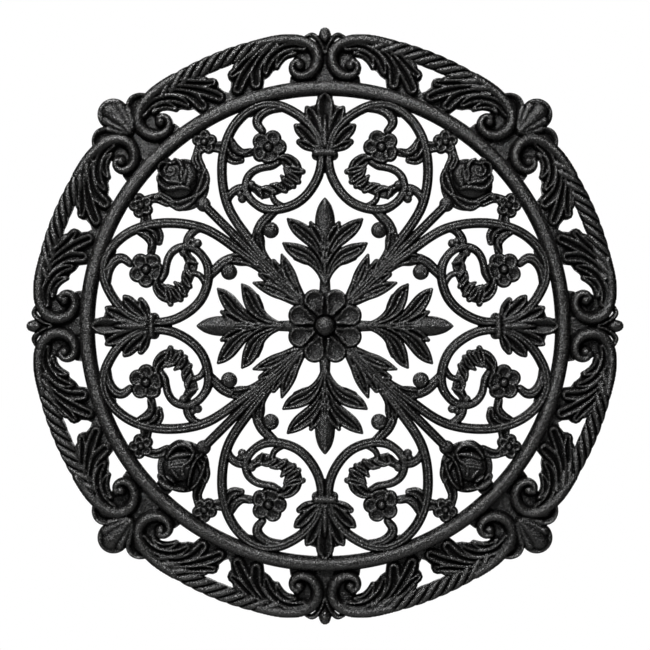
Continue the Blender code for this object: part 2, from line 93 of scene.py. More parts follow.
class Profile(Enum):
    """The cross-sections that the casting's details have."""

    BAR = "bar with a shallow channel along its crest"
    ROUND = "half-round bar or ball"
    LEAF = "leaf with raised edges and a valley between them"
    SPOON = "petal hollowed inside a thin rim"
    RIDGE = "ridge with a narrow crest"
    FLAT = "flat ground"


# Width of the raised edge, and the share of the height that the hollow within it takes
HOLLOWS = {Profile.LEAF: (2.2, 0.8), Profile.SPOON: (2.5, 0.48)}


@dataclass(frozen=True)
class Stroke:
    """One detail of the relief.

    Attributes:
        path: (x, y, half width) points of a soft curve. One point alone makes a disc.
        height: how far its crest stands over the wall.
        profile: its cross-section.
        foot: the height of its edges. Where it is over the height, the stroke cuts.
    """

    path: Path
    height: float
    profile: Profile = Profile.BAR
    foot: float = FOOT

    def redrawn(self, place: Callable[[float, float], Point]) -> "Stroke":
        """The same detail with its path's points in other places."""
        return replace(self, path=tuple((*place(x, y), half) for x, y, half in self.path))

    def moved(self, across: float) -> "Stroke":
        """The same detail a little further across."""
        return self.redrawn(lambda x, y: (x + across, y))

    def flipped(self) -> "Stroke":
        """The mirror image on the other side of the upright axis."""
        return self.redrawn(lambda x, y: (-x, y))

    def swapped(self) -> "Stroke":
        """The mirror image on the other side of the diagonal."""
        return self.redrawn(lambda x, y: (y, x))

    def opposite(self) -> "Stroke":
        """The same detail after half a turn about the centre."""
        return self.redrawn(lambda x, y: (-x, -y))


def strokes_along(paths: tuple[Path, ...], heights: float | tuple[float, ...], profile: Profile,
                  foot: float = FOOT) -> tuple[Stroke, ...]:
    """Strokes of one profile along several paths.

    Args:
        paths: the path of each.
        heights: the height of all, or of each.
        profile: their cross-section.
        foot: the height of their edges.

    Returns:
        The strokes, in the order of their paths.
    """
    if isinstance(heights, float):
        heights = (heights,) * len(paths)
    return tuple(Stroke(path, height, profile, foot) for path, height in zip(paths, heights))


def clipped(share: np.ndarray) -> np.ndarray:
    """The share, kept between 0 and 1."""
    return np.clip(share, 0.0, 1.0)


def ease(share: np.ndarray) -> np.ndarray:
    """Rises softly from 0 to 1 as the share does."""
    share = clipped(share)
    return share * share * (3.0 - 2.0 * share)


def half_round(share: np.ndarray) -> np.ndarray:
    """Rises from 0 to 1 as a quarter circle does."""
    return np.sqrt(1.0 - (1.0 - share) ** 2)


def soft_path(path: Path, step: float) -> np.ndarray:
    """Points along the soft curve through a path's own.

    Args:
        path: (x, y, half width) points.
        step: the distance between the new points, more or less.

    Returns:
        An array of (x, y, half width) rows.
    """
    rows = np.array(path, float)
    if len(rows) == 1:
        rows = np.vstack([rows, rows])
    ends = np.vstack([2 * rows[0] - rows[1], rows, 2 * rows[-1] - rows[-2]])
    curve = []
    for before, start, end, after in zip(ends, ends[1:], ends[2:], ends[3:]):
        pieces = max(1, round(float(np.hypot(*(end - start)[:2])) / step))
        for piece in range(pieces):
            t = piece / pieces
            curve.append(0.5 * (2 * start + (end - before) * t
                                + (2 * before - 5 * start + 4 * end - after) * t * t
                                + (3 * start - before - 3 * end + after) * t ** 3))
    curve.append(rows[-1])
    return np.array(curve)


def scrambled(x: np.ndarray, y: np.ndarray, seed: Point) -> np.ndarray:
    """An uneven value from 0 to 1 for each whole place, which the seed picks."""
    value = np.sin(np.round(x) * seed[0] + np.round(y) * seed[1]) * SCRAMBLE
    return value - np.floor(value)


def sand(x: np.ndarray, y: np.ndarray) -> np.ndarray:
    """A fine uneven grain, from -1 to 1, that depends only on the place in millimetres."""
    fine = scrambled(x * FINE_GRAINS, y * FINE_GRAINS, FINE_SEED)
    wide = scrambled(x * WIDE_GRAINS, y * WIDE_GRAINS, WIDE_SEED)
    return FINE_SHARE * fine + WIDE_SHARE * wide - 1.0


def section(profile: Profile, edge: np.ndarray, half_width: np.ndarray) -> np.ndarray:
    """Height of a profile as a share of the full one.

    Args:
        profile: the cross-section.
        edge: distance in from the nearest edge.
        half_width: half the width there.

    Returns:
        The share at each place.
    """
    inward = clipped(edge / np.maximum(half_width, LEAST_HALF))
    if profile is Profile.ROUND:
        return half_round(inward)
    if profile is Profile.RIDGE:
        return inward ** RIDGE_BULGE
    if profile is Profile.FLAT:
        return ease(edge / FLAT_SIDE)
    if profile is Profile.BAR:
        channel = np.exp(-((half_width - edge) ** 2))
        channel = channel * clipped((half_width - CHANNEL_FROM) / CHANNEL_SPAN)
        rise = clipped(edge / np.minimum(BAR_SIDE, MOST_SIDE * half_width))
        return rise ** BAR_BULGE - CHANNEL_DEPTH * channel
    rim, deep = HOLLOWS[profile]
    rise = ease(edge / np.minimum(rim, MOST_RIM * half_width))
    into = clipped((edge - rim) / np.maximum(half_width - rim, LEAST_HOLLOW))
    if profile is Profile.SPOON:
        into = half_round(into)
    return rise - deep * into * clipped((half_width - HOLLOW_FROM) / HOLLOW_SPAN)


def nearest_on_line(x: np.ndarray, y: np.ndarray, start: np.ndarray,
                    end: np.ndarray) -> tuple[np.ndarray, np.ndarray]:
    """Measures places from a line between two points.

    Args:
        x: how far across the places are.
        y: how far up they are.
        start: the line's first point.
        end: its last point.

    Returns:
        The share of the line at which each place is nearest to it, and the distance from there.
    """
    along = end - start
    length = float(along @ along)
    share = np.zeros_like(x)
    if length > 1e-9:
        share = clipped(((x - start[0]) * along[0] + (y - start[1]) * along[1]) / length)
    return share, np.hypot(x - start[0] - share * along[0], y - start[1] - share * along[1])


@dataclass
class Relief:
    """A rectangle of the relief, kept as heights on a fine grid."""

    left: float
    bottom: float
    right: float
    top: float
    step: float = 0.8

    def __post_init__(self) -> None:
        """Lays out the grid."""
        columns = math.ceil((self.right - self.left) / self.step) + 1
        rows = math.ceil((self.top - self.bottom) / self.step) + 1
        self.x, self.y = np.meshgrid(self.left + np.arange(columns) * self.step,
                                     self.bottom + np.arange(rows) * self.step)
        self.inside = np.full(self.x.shape, OUTSIDE)
        self.height = np.zeros(self.x.shape)

    def window(self, low: np.ndarray, high: np.ndarray) -> tuple[slice, slice]:
        """The part of the grid between two corners."""
        first = np.maximum(0, np.floor((low - (self.left, self.bottom)) / self.step)).astype(int)
        last = np.ceil((high - (self.left, self.bottom)) / self.step).astype(int) + 1
        return slice(first[1], max(last[1], first[1])), slice(first[0], max(last[0], first[0]))

    def lay(self, stroke: Stroke) -> None:
        """Adds a stroke where it stands out, or cuts one in whose foot is over its height."""
        rows = soft_path(stroke.path, PATH_STEP)
        reach = rows[:, 2].max() + REACH
        block = self.window(rows[:, :2].min(axis=0) - reach, rows[:, :2].max(axis=0) + reach)
        if 0 in self.x[block].shape:
            return
        edge = np.full(self.x.shape, OUTSIDE)
        width = np.ones(self.x.shape)
        for start, end in zip(rows, rows[1:]):
            near = max(start[2], end[2]) + REACH
            part = self.window(np.minimum(start, end)[:2] - near, np.maximum(start, end)[:2] + near)
            share, away = nearest_on_line(self.x[part], self.y[part], start[:2], end[:2])
            half = start[2] + share * (end[2] - start[2])
            better = half - away > edge[part]
            edge[part] = np.where(better, half - away, edge[part])
            width[part] = np.where(better, half, width[part])
        share = section(stroke.profile, edge[block], width[block])
        lift = stroke.foot + (stroke.height - stroke.foot) * share
        keep = np.minimum if stroke.height < stroke.foot else np.maximum
        self.height[block] = np.where(edge[block] > 0, keep(self.height[block], lift),
                                      self.height[block])
        self.inside[block] = np.maximum(self.inside[block], edge[block])

    def lay_all(self, strokes: Iterable[Stroke]) -> None:
        """Adds several strokes, in order."""
        for stroke in strokes:
            self.lay(stroke)

    def lay_twins(self, strokes: Iterable[Stroke]) -> None:
        """Adds several strokes, each with its mirror image left of the upright axis."""
        for stroke in strokes:
            self.lay_all((stroke, stroke.flipped()))

    def lay_ground(self, outline: Path, height: float) -> None:
        """Adds a flat plate inside an outline.

        Args:
            outline: the corners, in order.
            height: how far the plate stands over the wall.
        """
        corners = np.array(outline)
        distance = np.full(self.x.shape, np.inf)
        crossings = np.zeros(self.x.shape, int)
        for start, end in zip(corners, np.roll(corners, -1, axis=0)):
            distance = np.minimum(distance, nearest_on_line(self.x, self.y, start, end)[1])
            if start[1] != end[1]:
                spans = (self.y >= min(start[1], end[1])) & (self.y < max(start[1], end[1]))
                along = end - start
                cut = start[0] + (self.y - start[1]) * along[0] / along[1]
                crossings += spans & (self.x < cut)
        signed = np.where(crossings % 2 == 1, distance, -distance)
        self.inside = np.maximum(self.inside, signed)
        self.height = np.where(signed > 0, np.maximum(self.height, height), self.height)

    def lay_ground_twins(self, outline: Path, height: float) -> None:
        """Adds a flat plate and its mirror image left of the upright axis."""
        self.lay_ground(outline, height)
        self.lay_ground(tuple((-x, y) for x, y in outline), height)

    def soften(self, passes: int = 1) -> None:
        """Rounds corners off the relief, as paint and sand casting do."""
        mask = (self.inside > 0).astype(float)
        for _ in range(passes):
            total = np.zeros_like(self.height)
            weight = np.zeros_like(self.height)
            for down in (-1, 0, 1):
                for over in (-1, 0, 1):
                    share = (2 - abs(down)) * (2 - abs(over))
                    total += share * np.roll(self.height * mask, (down, over), (0, 1))
                    weight += share * np.roll(mask, (down, over), (0, 1))
            self.height = np.where(mask > 0, total / np.maximum(weight, 1e-9), self.height)

    def roughen(self) -> None:
        """Gives the front the grain of sand casting."""
        self.height = self.height + GRAIN * sand(self.x, self.y)

    def solid(self, name: str, back: float = 0.0) -> bpy.types.Mesh:
        """Closes the relief into a mesh with straight edges and a flat back.

        Args:
            name: the mesh's name.
            back: how far its back stands off the wall.

        Returns:
            The mesh, in metres, as it hangs.
        """
        self.roughen()
        field = np.where(np.abs(self.inside) < -JUST_OUTSIDE, JUST_OUTSIDE, self.inside)
        field[0, :] = field[-1, :] = field[:, 0] = field[:, -1] = -1.0
        is_in = field > 0
        points, tops, corner_ids = self.corner_points(is_in)
        count = len(points)
        rim, rim_tops, level_ids, upright_ids = self.rim_points(field, is_in, count)
        faces, edges = outline_faces(is_in, corner_ids, level_ids, upright_ids)
        front = np.column_stack([np.vstack([points, rim]), np.concatenate([tops, rim_tops])])
        rear = np.column_stack([rim, np.full(len(rim), back)])
        floor = back_faces(rim, edges - count) + len(front)
        return mesh_of(name, stood_up(np.vstack([front, rear])),
                       np.vstack([faces, wall_faces(edges, len(rim)), floor]))

    def corner_points(self, is_in: np.ndarray) -> tuple[np.ndarray, np.ndarray, np.ndarray]:
        """Places, heights and numbers of the grid's corners that lie inside."""
        ids = np.full(is_in.shape, -1)
        ids[is_in] = np.arange(int(is_in.sum()))
        return np.column_stack([self.x[is_in], self.y[is_in]]), self.height[is_in], ids

    def rim_points(self, field: np.ndarray, is_in: np.ndarray,
                   first: int) -> tuple[np.ndarray, np.ndarray, np.ndarray, np.ndarray]:
        """Points where the outline crosses the grid's lines.

        Args:
            field: depth inside the outline at each corner of the grid.
            is_in: which corners lie inside.
            first: the number that the first point gets.

        Returns:
            Places, heights, and the points' numbers along level and along upright lines.
        """
        places, tops, ids = [], [], []
        for axis in (1, 0):
            ahead = np.roll(is_in, -1, axis)
            crossing = is_in != ahead
            crossing[(slice(None), -1) if axis else (-1, slice(None))] = False
            next_field = np.roll(field, -1, axis)
            share = field[crossing] / (field[crossing] - next_field[crossing])
            x = self.x[crossing] + (share * self.step if axis else 0)
            y = self.y[crossing] + (0 if axis else share * self.step)
            height = np.where(is_in, self.height, np.roll(self.height, -1, axis))[crossing]
            numbers = np.full(is_in.shape, -1)
            numbers[crossing] = first + np.arange(int(crossing.sum()))
            first += int(crossing.sum())
            places.append(np.column_stack([x, y]))
            tops.append(np.minimum(height, RIM_TOP))
            ids.append(numbers)
        return np.vstack(places), np.concatenate(tops), ids[0], ids[1]


def ring_of(case: int) -> list[str]:
    """Names the points around the part of a grid square that lies inside.

    Args:
        case: the sum of 1, 2, 4 and 8 for those of the corners A to D that lie inside. They go
            anticlockwise from the lower left.

    Returns:
        A letter for each corner inside, and two for each point between one inside and one outside.
    """
    corners, ring = "ABCD", []
    for number, name in enumerate(corners):
        following = (number + 1) % len(corners)
        here, ahead = (case >> number) & 1, (case >> following) & 1
        if here:
            ring.append(name)
        if here != ahead:
            ring.append(name + corners[following])
    return ring


def outline_faces(is_in: np.ndarray, corners: np.ndarray, level: np.ndarray,
                  upright: np.ndarray) -> tuple[np.ndarray, np.ndarray]:
    """Triangles over the grid's squares, cut along the outline.

    Args:
        is_in: which corners lie inside.
        corners: numbers of the corners' points.
        level: numbers of the points on level lines.
        upright: numbers of the points on upright lines.

    Returns:
        The triangles, and the outline's edges with the inside on their left.
    """
    ids = {"A": corners[:-1, :-1], "B": corners[:-1, 1:],
           "C": corners[1:, 1:], "D": corners[1:, :-1], "AB": level[:-1, :-1],
           "CD": level[1:, :-1], "DA": upright[:-1, :-1], "BC": upright[:-1, 1:]}
    case = (is_in[:-1, :-1] + 2 * is_in[:-1, 1:] + 4 * is_in[1:, 1:]
            + 8 * is_in[1:, :-1]).astype(int)
    faces, edges = [], []
    for number in range(1, 16):
        here, names = case == number, ring_of(number)
        ring = [ids[name][here] for name in names]
        for second, third in zip(ring[1:], ring[2:]):
            faces.append(np.column_stack([ring[0], second, third]))
        for start in range(len(names)):
            end = (start + 1) % len(names)
            if len(names[start]) == 2 and len(names[end]) == 2:
                edges.append(np.column_stack([ring[start], ring[end]]))
    return np.vstack(faces), np.vstack(edges)


def wall_faces(edges: np.ndarray, rim_count: int) -> np.ndarray:
    """Two triangles under each edge of the outline, down to the back."""
    start, end = edges[:, 0], edges[:, 1]
    return np.vstack([np.column_stack([end, start, start + rim_count]),
                      np.column_stack([end, start + rim_count, end + rim_count])])


def back_faces(places: np.ndarray, edges: np.ndarray) -> np.ndarray:
    """Triangles of the flat back, between the outline's edges.

    Args:
        places: (x, y) of the outline's points.
        edges: pairs of their numbers, with the inside on the left.

    Returns:
        Triangles that face backwards, as the numbers of their places.
    """
    found = delaunay_2d_cdt([Vector(place) for place in places], edges.tolist(), [],
                            WITHIN_EDGES, SAME_PLACE)
    triangles = np.array(found[2])
    origin = np.array([ids[0] if ids else -1 for ids in found[3]])
    directed = set(map(tuple, edges.tolist()))
    triangles = origin[triangles]
    owner = {}
    for number, (a, b, c) in enumerate(triangles.tolist()):
        for pair in ((a, b), (b, c), (c, a)):
            owner[pair] = number
    wanted = np.zeros(len(triangles), bool)
    known = np.zeros(len(triangles), bool)
    queue = []
    for pair, number in owner.items():
        if pair in directed and not known[number]:
            wanted[number] = known[number] = True
            queue.append(number)
    while queue:
        a, b, c = triangles[queue.pop()].tolist()
        for pair in ((a, b), (b, c), (c, a)):
            number = owner.get(pair[::-1])
            if pair not in directed and number is not None and not known[number]:
                wanted[number] = known[number] = True
                queue.append(number)
    return triangles[wanted][:, ::-1]


def stood_up(points: np.ndarray) -> np.ndarray:
    """Relief places in millimetres, as world places in metres."""
    return np.column_stack([points[:, 0], -points[:, 2], points[:, 1]]) * MM


def mesh_of(name: str, points: np.ndarray, triangles: np.ndarray) -> bpy.types.Mesh:
    """A smooth-shaded mesh of these triangles, with its steep corners left sharp."""
    mesh = bpy.data.meshes.new(name)
    mesh.vertices.add(len(points))
    mesh.vertices.foreach_set("co", points.astype(np.float32).ravel())
    mesh.loops.add(3 * len(triangles))
    mesh.loops.foreach_set("vertex_index", triangles.astype(np.int32).ravel())
    mesh.polygons.add(len(triangles))
    starts = np.arange(0, 3 * len(triangles), 3, dtype=np.int32)
    mesh.polygons.foreach_set("loop_start", starts)
    mesh.update(calc_edges=True)
    mesh.validate()
    mesh.shade_smooth()
    mesh.set_sharp_from_angle(angle=SHARP)
    return mesh


def skin(here: np.ndarray, ahead: np.ndarray) -> np.ndarray:
    """Triangles between the rings of a tube, from the point numbers of each and of the next."""
    side, side_ahead = np.roll(here, -1, axis=1), np.roll(ahead, -1, axis=1)
    return np.vstack([np.column_stack([here.ravel(), side.ravel(), side_ahead.ravel()]),
                      np.column_stack([here.ravel(), side_ahead.ravel(), ahead.ravel()])])


def moved_mesh(mesh: bpy.types.Mesh, name: str,
               move: Callable[[np.ndarray], np.ndarray]) -> bpy.types.Mesh:
    """A copy of a mesh with its points in other places.

    Args:
        mesh: the mesh to copy.
        name: the copy's name.
        move: gives the new rows of places for the old ones.

    Returns:
        The copy.
    """
    copy = mesh.copy()
    copy.name = name
    points = np.empty(len(copy.vertices) * 3, np.float32)
    copy.vertices.foreach_get("co", points)
    copy.vertices.foreach_set("co", move(points.reshape(-1, 3)).astype(np.float32).ravel())
    copy.update()
    return copy


def turned_mesh(mesh: bpy.types.Mesh, name: str, quarters: int) -> bpy.types.Mesh:
    """A copy of a mesh, turned clockwise about the medallion's centre by quarter turns."""
    def turned(points: np.ndarray) -> np.ndarray:
        """The places after the turns. Every other copy is a hair nearer to the viewer."""
        points = points - (0.0, quarters % 2 * HAIR * MM, 0.0)
        for _ in range(quarters):
            points = np.column_stack([points[:, 2], points[:, 1], -points[:, 0]])
        return points

    return moved_mesh(mesh, name, turned)


def mirrored_mesh(mesh: bpy.types.Mesh, name: str, level: bool, upright: bool) -> bpy.types.Mesh:
    """A mirror image of a mesh.

    Args:
        mesh: the mesh to copy.
        name: the image's name.
        level: whether left and right change places.
        upright: whether top and bottom change places.

    Returns:
        The image, its faces still pointing out.
    """
    signs = (-1.0 if level else 1.0, 1.0, -1.0 if upright else 1.0)
    copy = moved_mesh(mesh, name, lambda points: points * signs)
    if level != upright:
        copy.flip_normals()
        copy.update()
    return copy


def cornered(points: np.ndarray) -> np.ndarray:
    """Places on an upright cartouche, for the one on the upper right diagonal."""
    x, z = points[:, 0], points[:, 2]
    return np.column_stack([(z + x) * ROOT_HALF, points[:, 1], (z - x) * ROOT_HALF])


def on_circle(radius: float, angle: float) -> tuple[float, float]:
    """The place at a radius and an angle clockwise from the upright axis."""
    return radius * math.sin(angle), radius * math.cos(angle)


@dataclass(frozen=True)
class BlackPaint:
    """Satin black paint over sand-cast metal."""

    colour: tuple[float, float, float] = (0.0022, 0.0021, 0.0021)
    # Colour of the painted highlight on the crests, speckled by the grain, with a little wear in it
    highlight_and_wear_colour: tuple[float, float, float] = (0.1, 0.097, 0.094)
    roughness: tuple[float, float] = (0.23, 0.31)
    shine: float = 1.0
    # Specular level left in the hollows, lowered there as painted shade
    hollow_shade_shine: float = 0.03
    grain_per_metre: float = 780.0
    grain_detail: float = 1.5
    grain_depth: float = 0.0012
    swell_per_metre: float = 150.0
    swell_detail: float = 2.0
    swell_share: float = 0.4
    fineness: float = 0.65
    gloss_range: tuple[float, float] = (0.35, 0.65)
    # Pointiness range over which the painted shade in the hollows gives way to full shine
    hollow_range: tuple[float, float] = (0.465, 0.545)
    # Pointiness and grain ranges that place the painted highlight and its speckles on the crests
    crest_range: tuple[float, float] = (0.495, 0.57)
    speckle_range: tuple[float, float] = (0.51, 0.63)

    def noise(self, tree: bpy.types.NodeTree, per_metre: float, detail: float) -> bpy.types.Node:
        """An even noise fixed to the casting.

        Args:
            tree: the material's nodes.
            per_metre: how many grains there are along a metre, more or less.
            detail: how much finer grain lies in it.

        Returns:
            The noise node.
        """
        place = tree.nodes.new("ShaderNodeTexCoord")
        noise = tree.nodes.new("ShaderNodeTexNoise")
        noise.inputs["Scale"].default_value = per_metre
        noise.inputs["Detail"].default_value = detail
        noise.inputs["Roughness"].default_value = self.fineness
        tree.links.new(place.outputs["Object"], noise.inputs["Vector"])
        return noise

    def bump(self, tree: bpy.types.NodeTree, noise: bpy.types.Node,
             strength: float) -> bpy.types.Node:
        """A bump that follows a noise, with a share of the grain's depth."""
        bump = tree.nodes.new("ShaderNodeBump")
        bump.inputs["Strength"].default_value = strength
        bump.inputs["Distance"].default_value = self.grain_depth
        tree.links.new(noise.outputs["Fac"], bump.inputs["Height"])
        return bump

    def spread(self, tree: bpy.types.NodeTree, source: bpy.types.NodeSocket,
               given: tuple[float, float], results: tuple[float, float]) -> bpy.types.NodeSocket:
        """Stretches a value's useful range.

        Args:
            tree: the material's nodes.
            source: the value.
            given: where the range begins and ends.
            results: what the two ends become.

        Returns:
            The stretched value.
        """
        node = tree.nodes.new("ShaderNodeMapRange")
        for name, value in zip(("From Min", "From Max", "To Min", "To Max"), (*given, *results)):
            node.inputs[name].default_value = value
        tree.links.new(source, node.inputs["Value"])
        return node.outputs["Result"]

    def material(self) -> bpy.types.Material:
        """Builds the paint: grain in relief, uneven gloss, painted shade in hollows, painted
        highlight and wear on crests.
        """
        paint = bpy.data.materials.new("black_paint")
        paint.use_nodes = True
        tree = paint.node_tree
        shader = tree.nodes["Principled BSDF"]
        shader.inputs["Specular IOR Level"].default_value = self.shine
        grain = self.noise(tree, self.grain_per_metre, self.grain_detail)
        swell = self.noise(tree, self.swell_per_metre, self.swell_detail)
        fine, waves = self.bump(tree, grain, 1.0), self.bump(tree, swell, self.swell_share)
        tree.links.new(waves.outputs["Normal"], fine.inputs["Normal"])
        tree.links.new(fine.outputs["Normal"], shader.inputs["Normal"])
        gloss = self.spread(tree, swell.outputs["Fac"], self.gloss_range, self.roughness)
        tree.links.new(gloss, shader.inputs["Roughness"])
        bend = tree.nodes.new("ShaderNodeNewGeometry").outputs["Pointiness"]
        # Painted highlight with a little wear: the more a crest stands out, the lighter its colour
        crest_highlight_and_wear = self.spread(tree, bend, self.crest_range, (0.0, 1.0))
        # Painted shade: the hollows lose most of their specular shine, as if little light reached
        # them
        hollow = self.spread(tree, bend, self.hollow_range, (self.hollow_shade_shine, self.shine))
        tree.links.new(hollow, shader.inputs["Specular IOR Level"])
        # The grain breaks the painted highlight on the crests into speckled glints
        speckle = self.spread(tree, grain.outputs["Fac"], self.speckle_range, (0.0, 1.0))
        both = tree.nodes.new("ShaderNodeMath")
        both.operation = "MULTIPLY"
        tree.links.new(crest_highlight_and_wear, both.inputs[0])
        tree.links.new(speckle, both.inputs[1])
        # The dark paint turns to the lighter colour of the painted highlight where crest and
        # speckle meet
        colour = tree.nodes.new("ShaderNodeMix")
        colour.data_type = "RGBA"
        # The node's colour sockets share their names with its other ones, so they go by number
        colour.inputs[6].default_value = (*self.colour, 1.0)
        colour.inputs[7].default_value = (*self.highlight_and_wear_colour, 1.0)
        tree.links.new(both.outputs["Value"], colour.inputs["Factor"])
        tree.links.new(colour.outputs[2], shader.inputs["Base Color"])
        return paint


@dataclass(frozen=True)
class PaleFloor:
    """The plain ground under the medallion."""

    colour: tuple[float, float, float] = (0.62, 0.62, 0.61)
    roughness: float = 0.9

    def material(self) -> bpy.types.Material:
        """Builds the floor's matt finish."""
        matt = bpy.data.materials.new("pale_floor")
        matt.use_nodes = True
        shader = matt.node_tree.nodes["Principled BSDF"]
        shader.inputs["Base Color"].default_value = (*self.colour, 1.0)
        shader.inputs["Roughness"].default_value = self.roughness
        return matt


def hang(mesh: bpy.types.Mesh, paint: bpy.types.Material) -> None:
    """Paints a mesh and makes it a piece of the medallion."""
    mesh.materials.clear()
    mesh.materials.append(paint)
    piece = bpy.data.objects.new(mesh.name, mesh)
    bpy.context.scene.collection.objects.link(piece)
    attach(piece, "root")
    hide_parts("medallion")
    log.info("%s: %d triangles", piece.name, len(mesh.polygons))


def hang_round(mesh: bpy.types.Mesh, paint: bpy.types.Material, sides: tuple[str, ...]) -> None:
    """Hangs copies of a mesh, one for each quarter turn clockwise, named after their sides."""
    for turn, side in enumerate(sides):
        hang(turned_mesh(mesh, f"{mesh.name}_{side}", turn), paint)


@dataclass
class RopeRim:
    """The runs of rope between the cartouches: strands that all lean the same way around.

    Between two strands the rope is lower and narrower by a share, the groove and the edge groove,
    and sunk by the cut. The shoulder is the height of its edges.
    """

    radius: float = 285.7
    half_width: float = 8.4
    depth: float = 11.5
    strands_round: int = 144
    slant: float = math.radians(38)
    groove: float = 0.2
    edge_groove: float = 0.07
    cut: float = 2.6
    cut_spread: float = 0.3
    fullness: float = 0.55
    roundness: float = 0.85
    shoulder: float = 3.0
    starts: float = math.radians(9.5)
    ends: float = math.radians(35.5)
    step: float = 0.74
    points_across: int = 23

    def run(self, start: float, end: float) -> tuple[np.ndarray, np.ndarray]:
        """One run of rope.

        Args:
            start: the angle where it begins, clockwise from the upright axis.
            end: the angle where it ends.

        Returns:
            Its points and its triangles.
        """
        rows = round((end - start) * self.radius / self.step) + 1
        angle = np.linspace(start, end, rows)[:, None]
        around = np.linspace(0.0, math.pi, self.points_across)[None, :]
        out = -np.cos(around) * self.half_width
        lean = out / (math.tan(self.slant) * self.radius)
        phase = (angle - lean) * self.strands_round / math.tau
        valley = 1.0 - np.abs(np.sin(math.pi * phase)) ** self.fullness
        radius = self.radius + out * (1.0 - self.edge_groove * valley)
        crest = (self.depth - self.shoulder) * np.sin(around) ** self.roundness
        height = (self.shoulder + crest * (1.0 - self.groove * valley)
                  - self.cut * valley * np.sin(around) ** self.cut_spread)
        angles = np.broadcast_to(angle, radius.shape)
        x, y = radius * np.sin(angles), radius * np.cos(angles)
        top = np.stack([x, y, height + GRAIN * sand(x, y)], -1)
        low = top.copy()
        low[..., 2] = HAIR
        ring = np.concatenate([top, low[:, -1:], low[:, :1]], axis=1)
        count = ring.shape[1]
        here = np.arange((rows - 1) * count).reshape(rows - 1, count)
        faces = [skin(here, here + count)]
        for row, turn in ((0, -1), (rows - 1, 1)):
            first = row * count
            faces.append([(first, first + n, first + n + 1)[::turn] for n in range(1, count - 1)])
        faces = np.vstack(faces)
        points = ring.reshape(-1, 3)
        if np.linalg.det(points[faces] - points.mean(axis=0)).sum() < 0:
            faces = faces[:, ::-1]
        return points, faces

    def build(self, paint: bpy.types.Material) -> None:
        """Hangs the four quarters of the rope, two runs in each."""
        right = math.tau / 4
        for quarter, side in enumerate(DIAGONALS):
            turn = quarter * right
            points, faces = self.run(turn + self.starts, turn + self.ends)
            more, more_faces = self.run(turn + right - self.ends, turn + right - self.starts)
            hang(mesh_of(f"rope_{side}", stood_up(np.vstack([points, more])),
                         np.vstack([faces, more_faces + len(points)])), paint)


@dataclass
class PlainRing:
    """The ring between the border and the field, with a thin rib near its outer edge.

    The shoulder is the height of its edges, and the fall the share that its crest loses to them.
    """

    radius: float = 237.9
    half_width: float = 7.7
    depth: float = 11.5
    crest_half_width: float = 3.6
    shoulder: float = 3.0
    fall: float = 0.22
    rib_at: float = 6.0
    rib_height: float = 2.0
    rib_width: float = 1.0
    pieces: int = 1300
    points_across: int = 17

    def build(self, paint: bpy.types.Material) -> None:
        """Hangs the ring."""
        out = -np.cos(np.linspace(0.0, math.pi, self.points_across)) * self.half_width
        crest = clipped((self.half_width - np.abs(out)) / (self.half_width - self.crest_half_width))
        crest = crest * (1.0 - self.fall * (out / self.half_width) ** 2)
        rib = self.rib_height * np.exp(-(((out - self.rib_at) / self.rib_width) ** 2))
        height = self.shoulder + (self.depth - self.shoulder) * crest + rib
        ring = np.column_stack([np.append(out, (out[-1], out[0])), np.append(height, (0.0, 0.0))])
        angles = np.arange(self.pieces) * math.tau / self.pieces
        radius = self.radius + ring[None, :, 0]
        x, y = radius * np.sin(angles[:, None]), radius * np.cos(angles[:, None])
        level = ring[None, :, 1] + GRAIN * sand(x, y) * (ring[None, :, 1] > 0)
        points = np.stack([x, y, level], -1)
        count = len(ring)
        here = np.arange(self.pieces * count).reshape(self.pieces, count)
        faces = skin(here, np.roll(here, -1, axis=0))
        flat = points.reshape(-1, 3)
        if np.linalg.det(flat[faces]).sum() < 0:
            faces = faces[:, ::-1]
        hang(mesh_of("plain_ring", stood_up(flat), faces), paint)


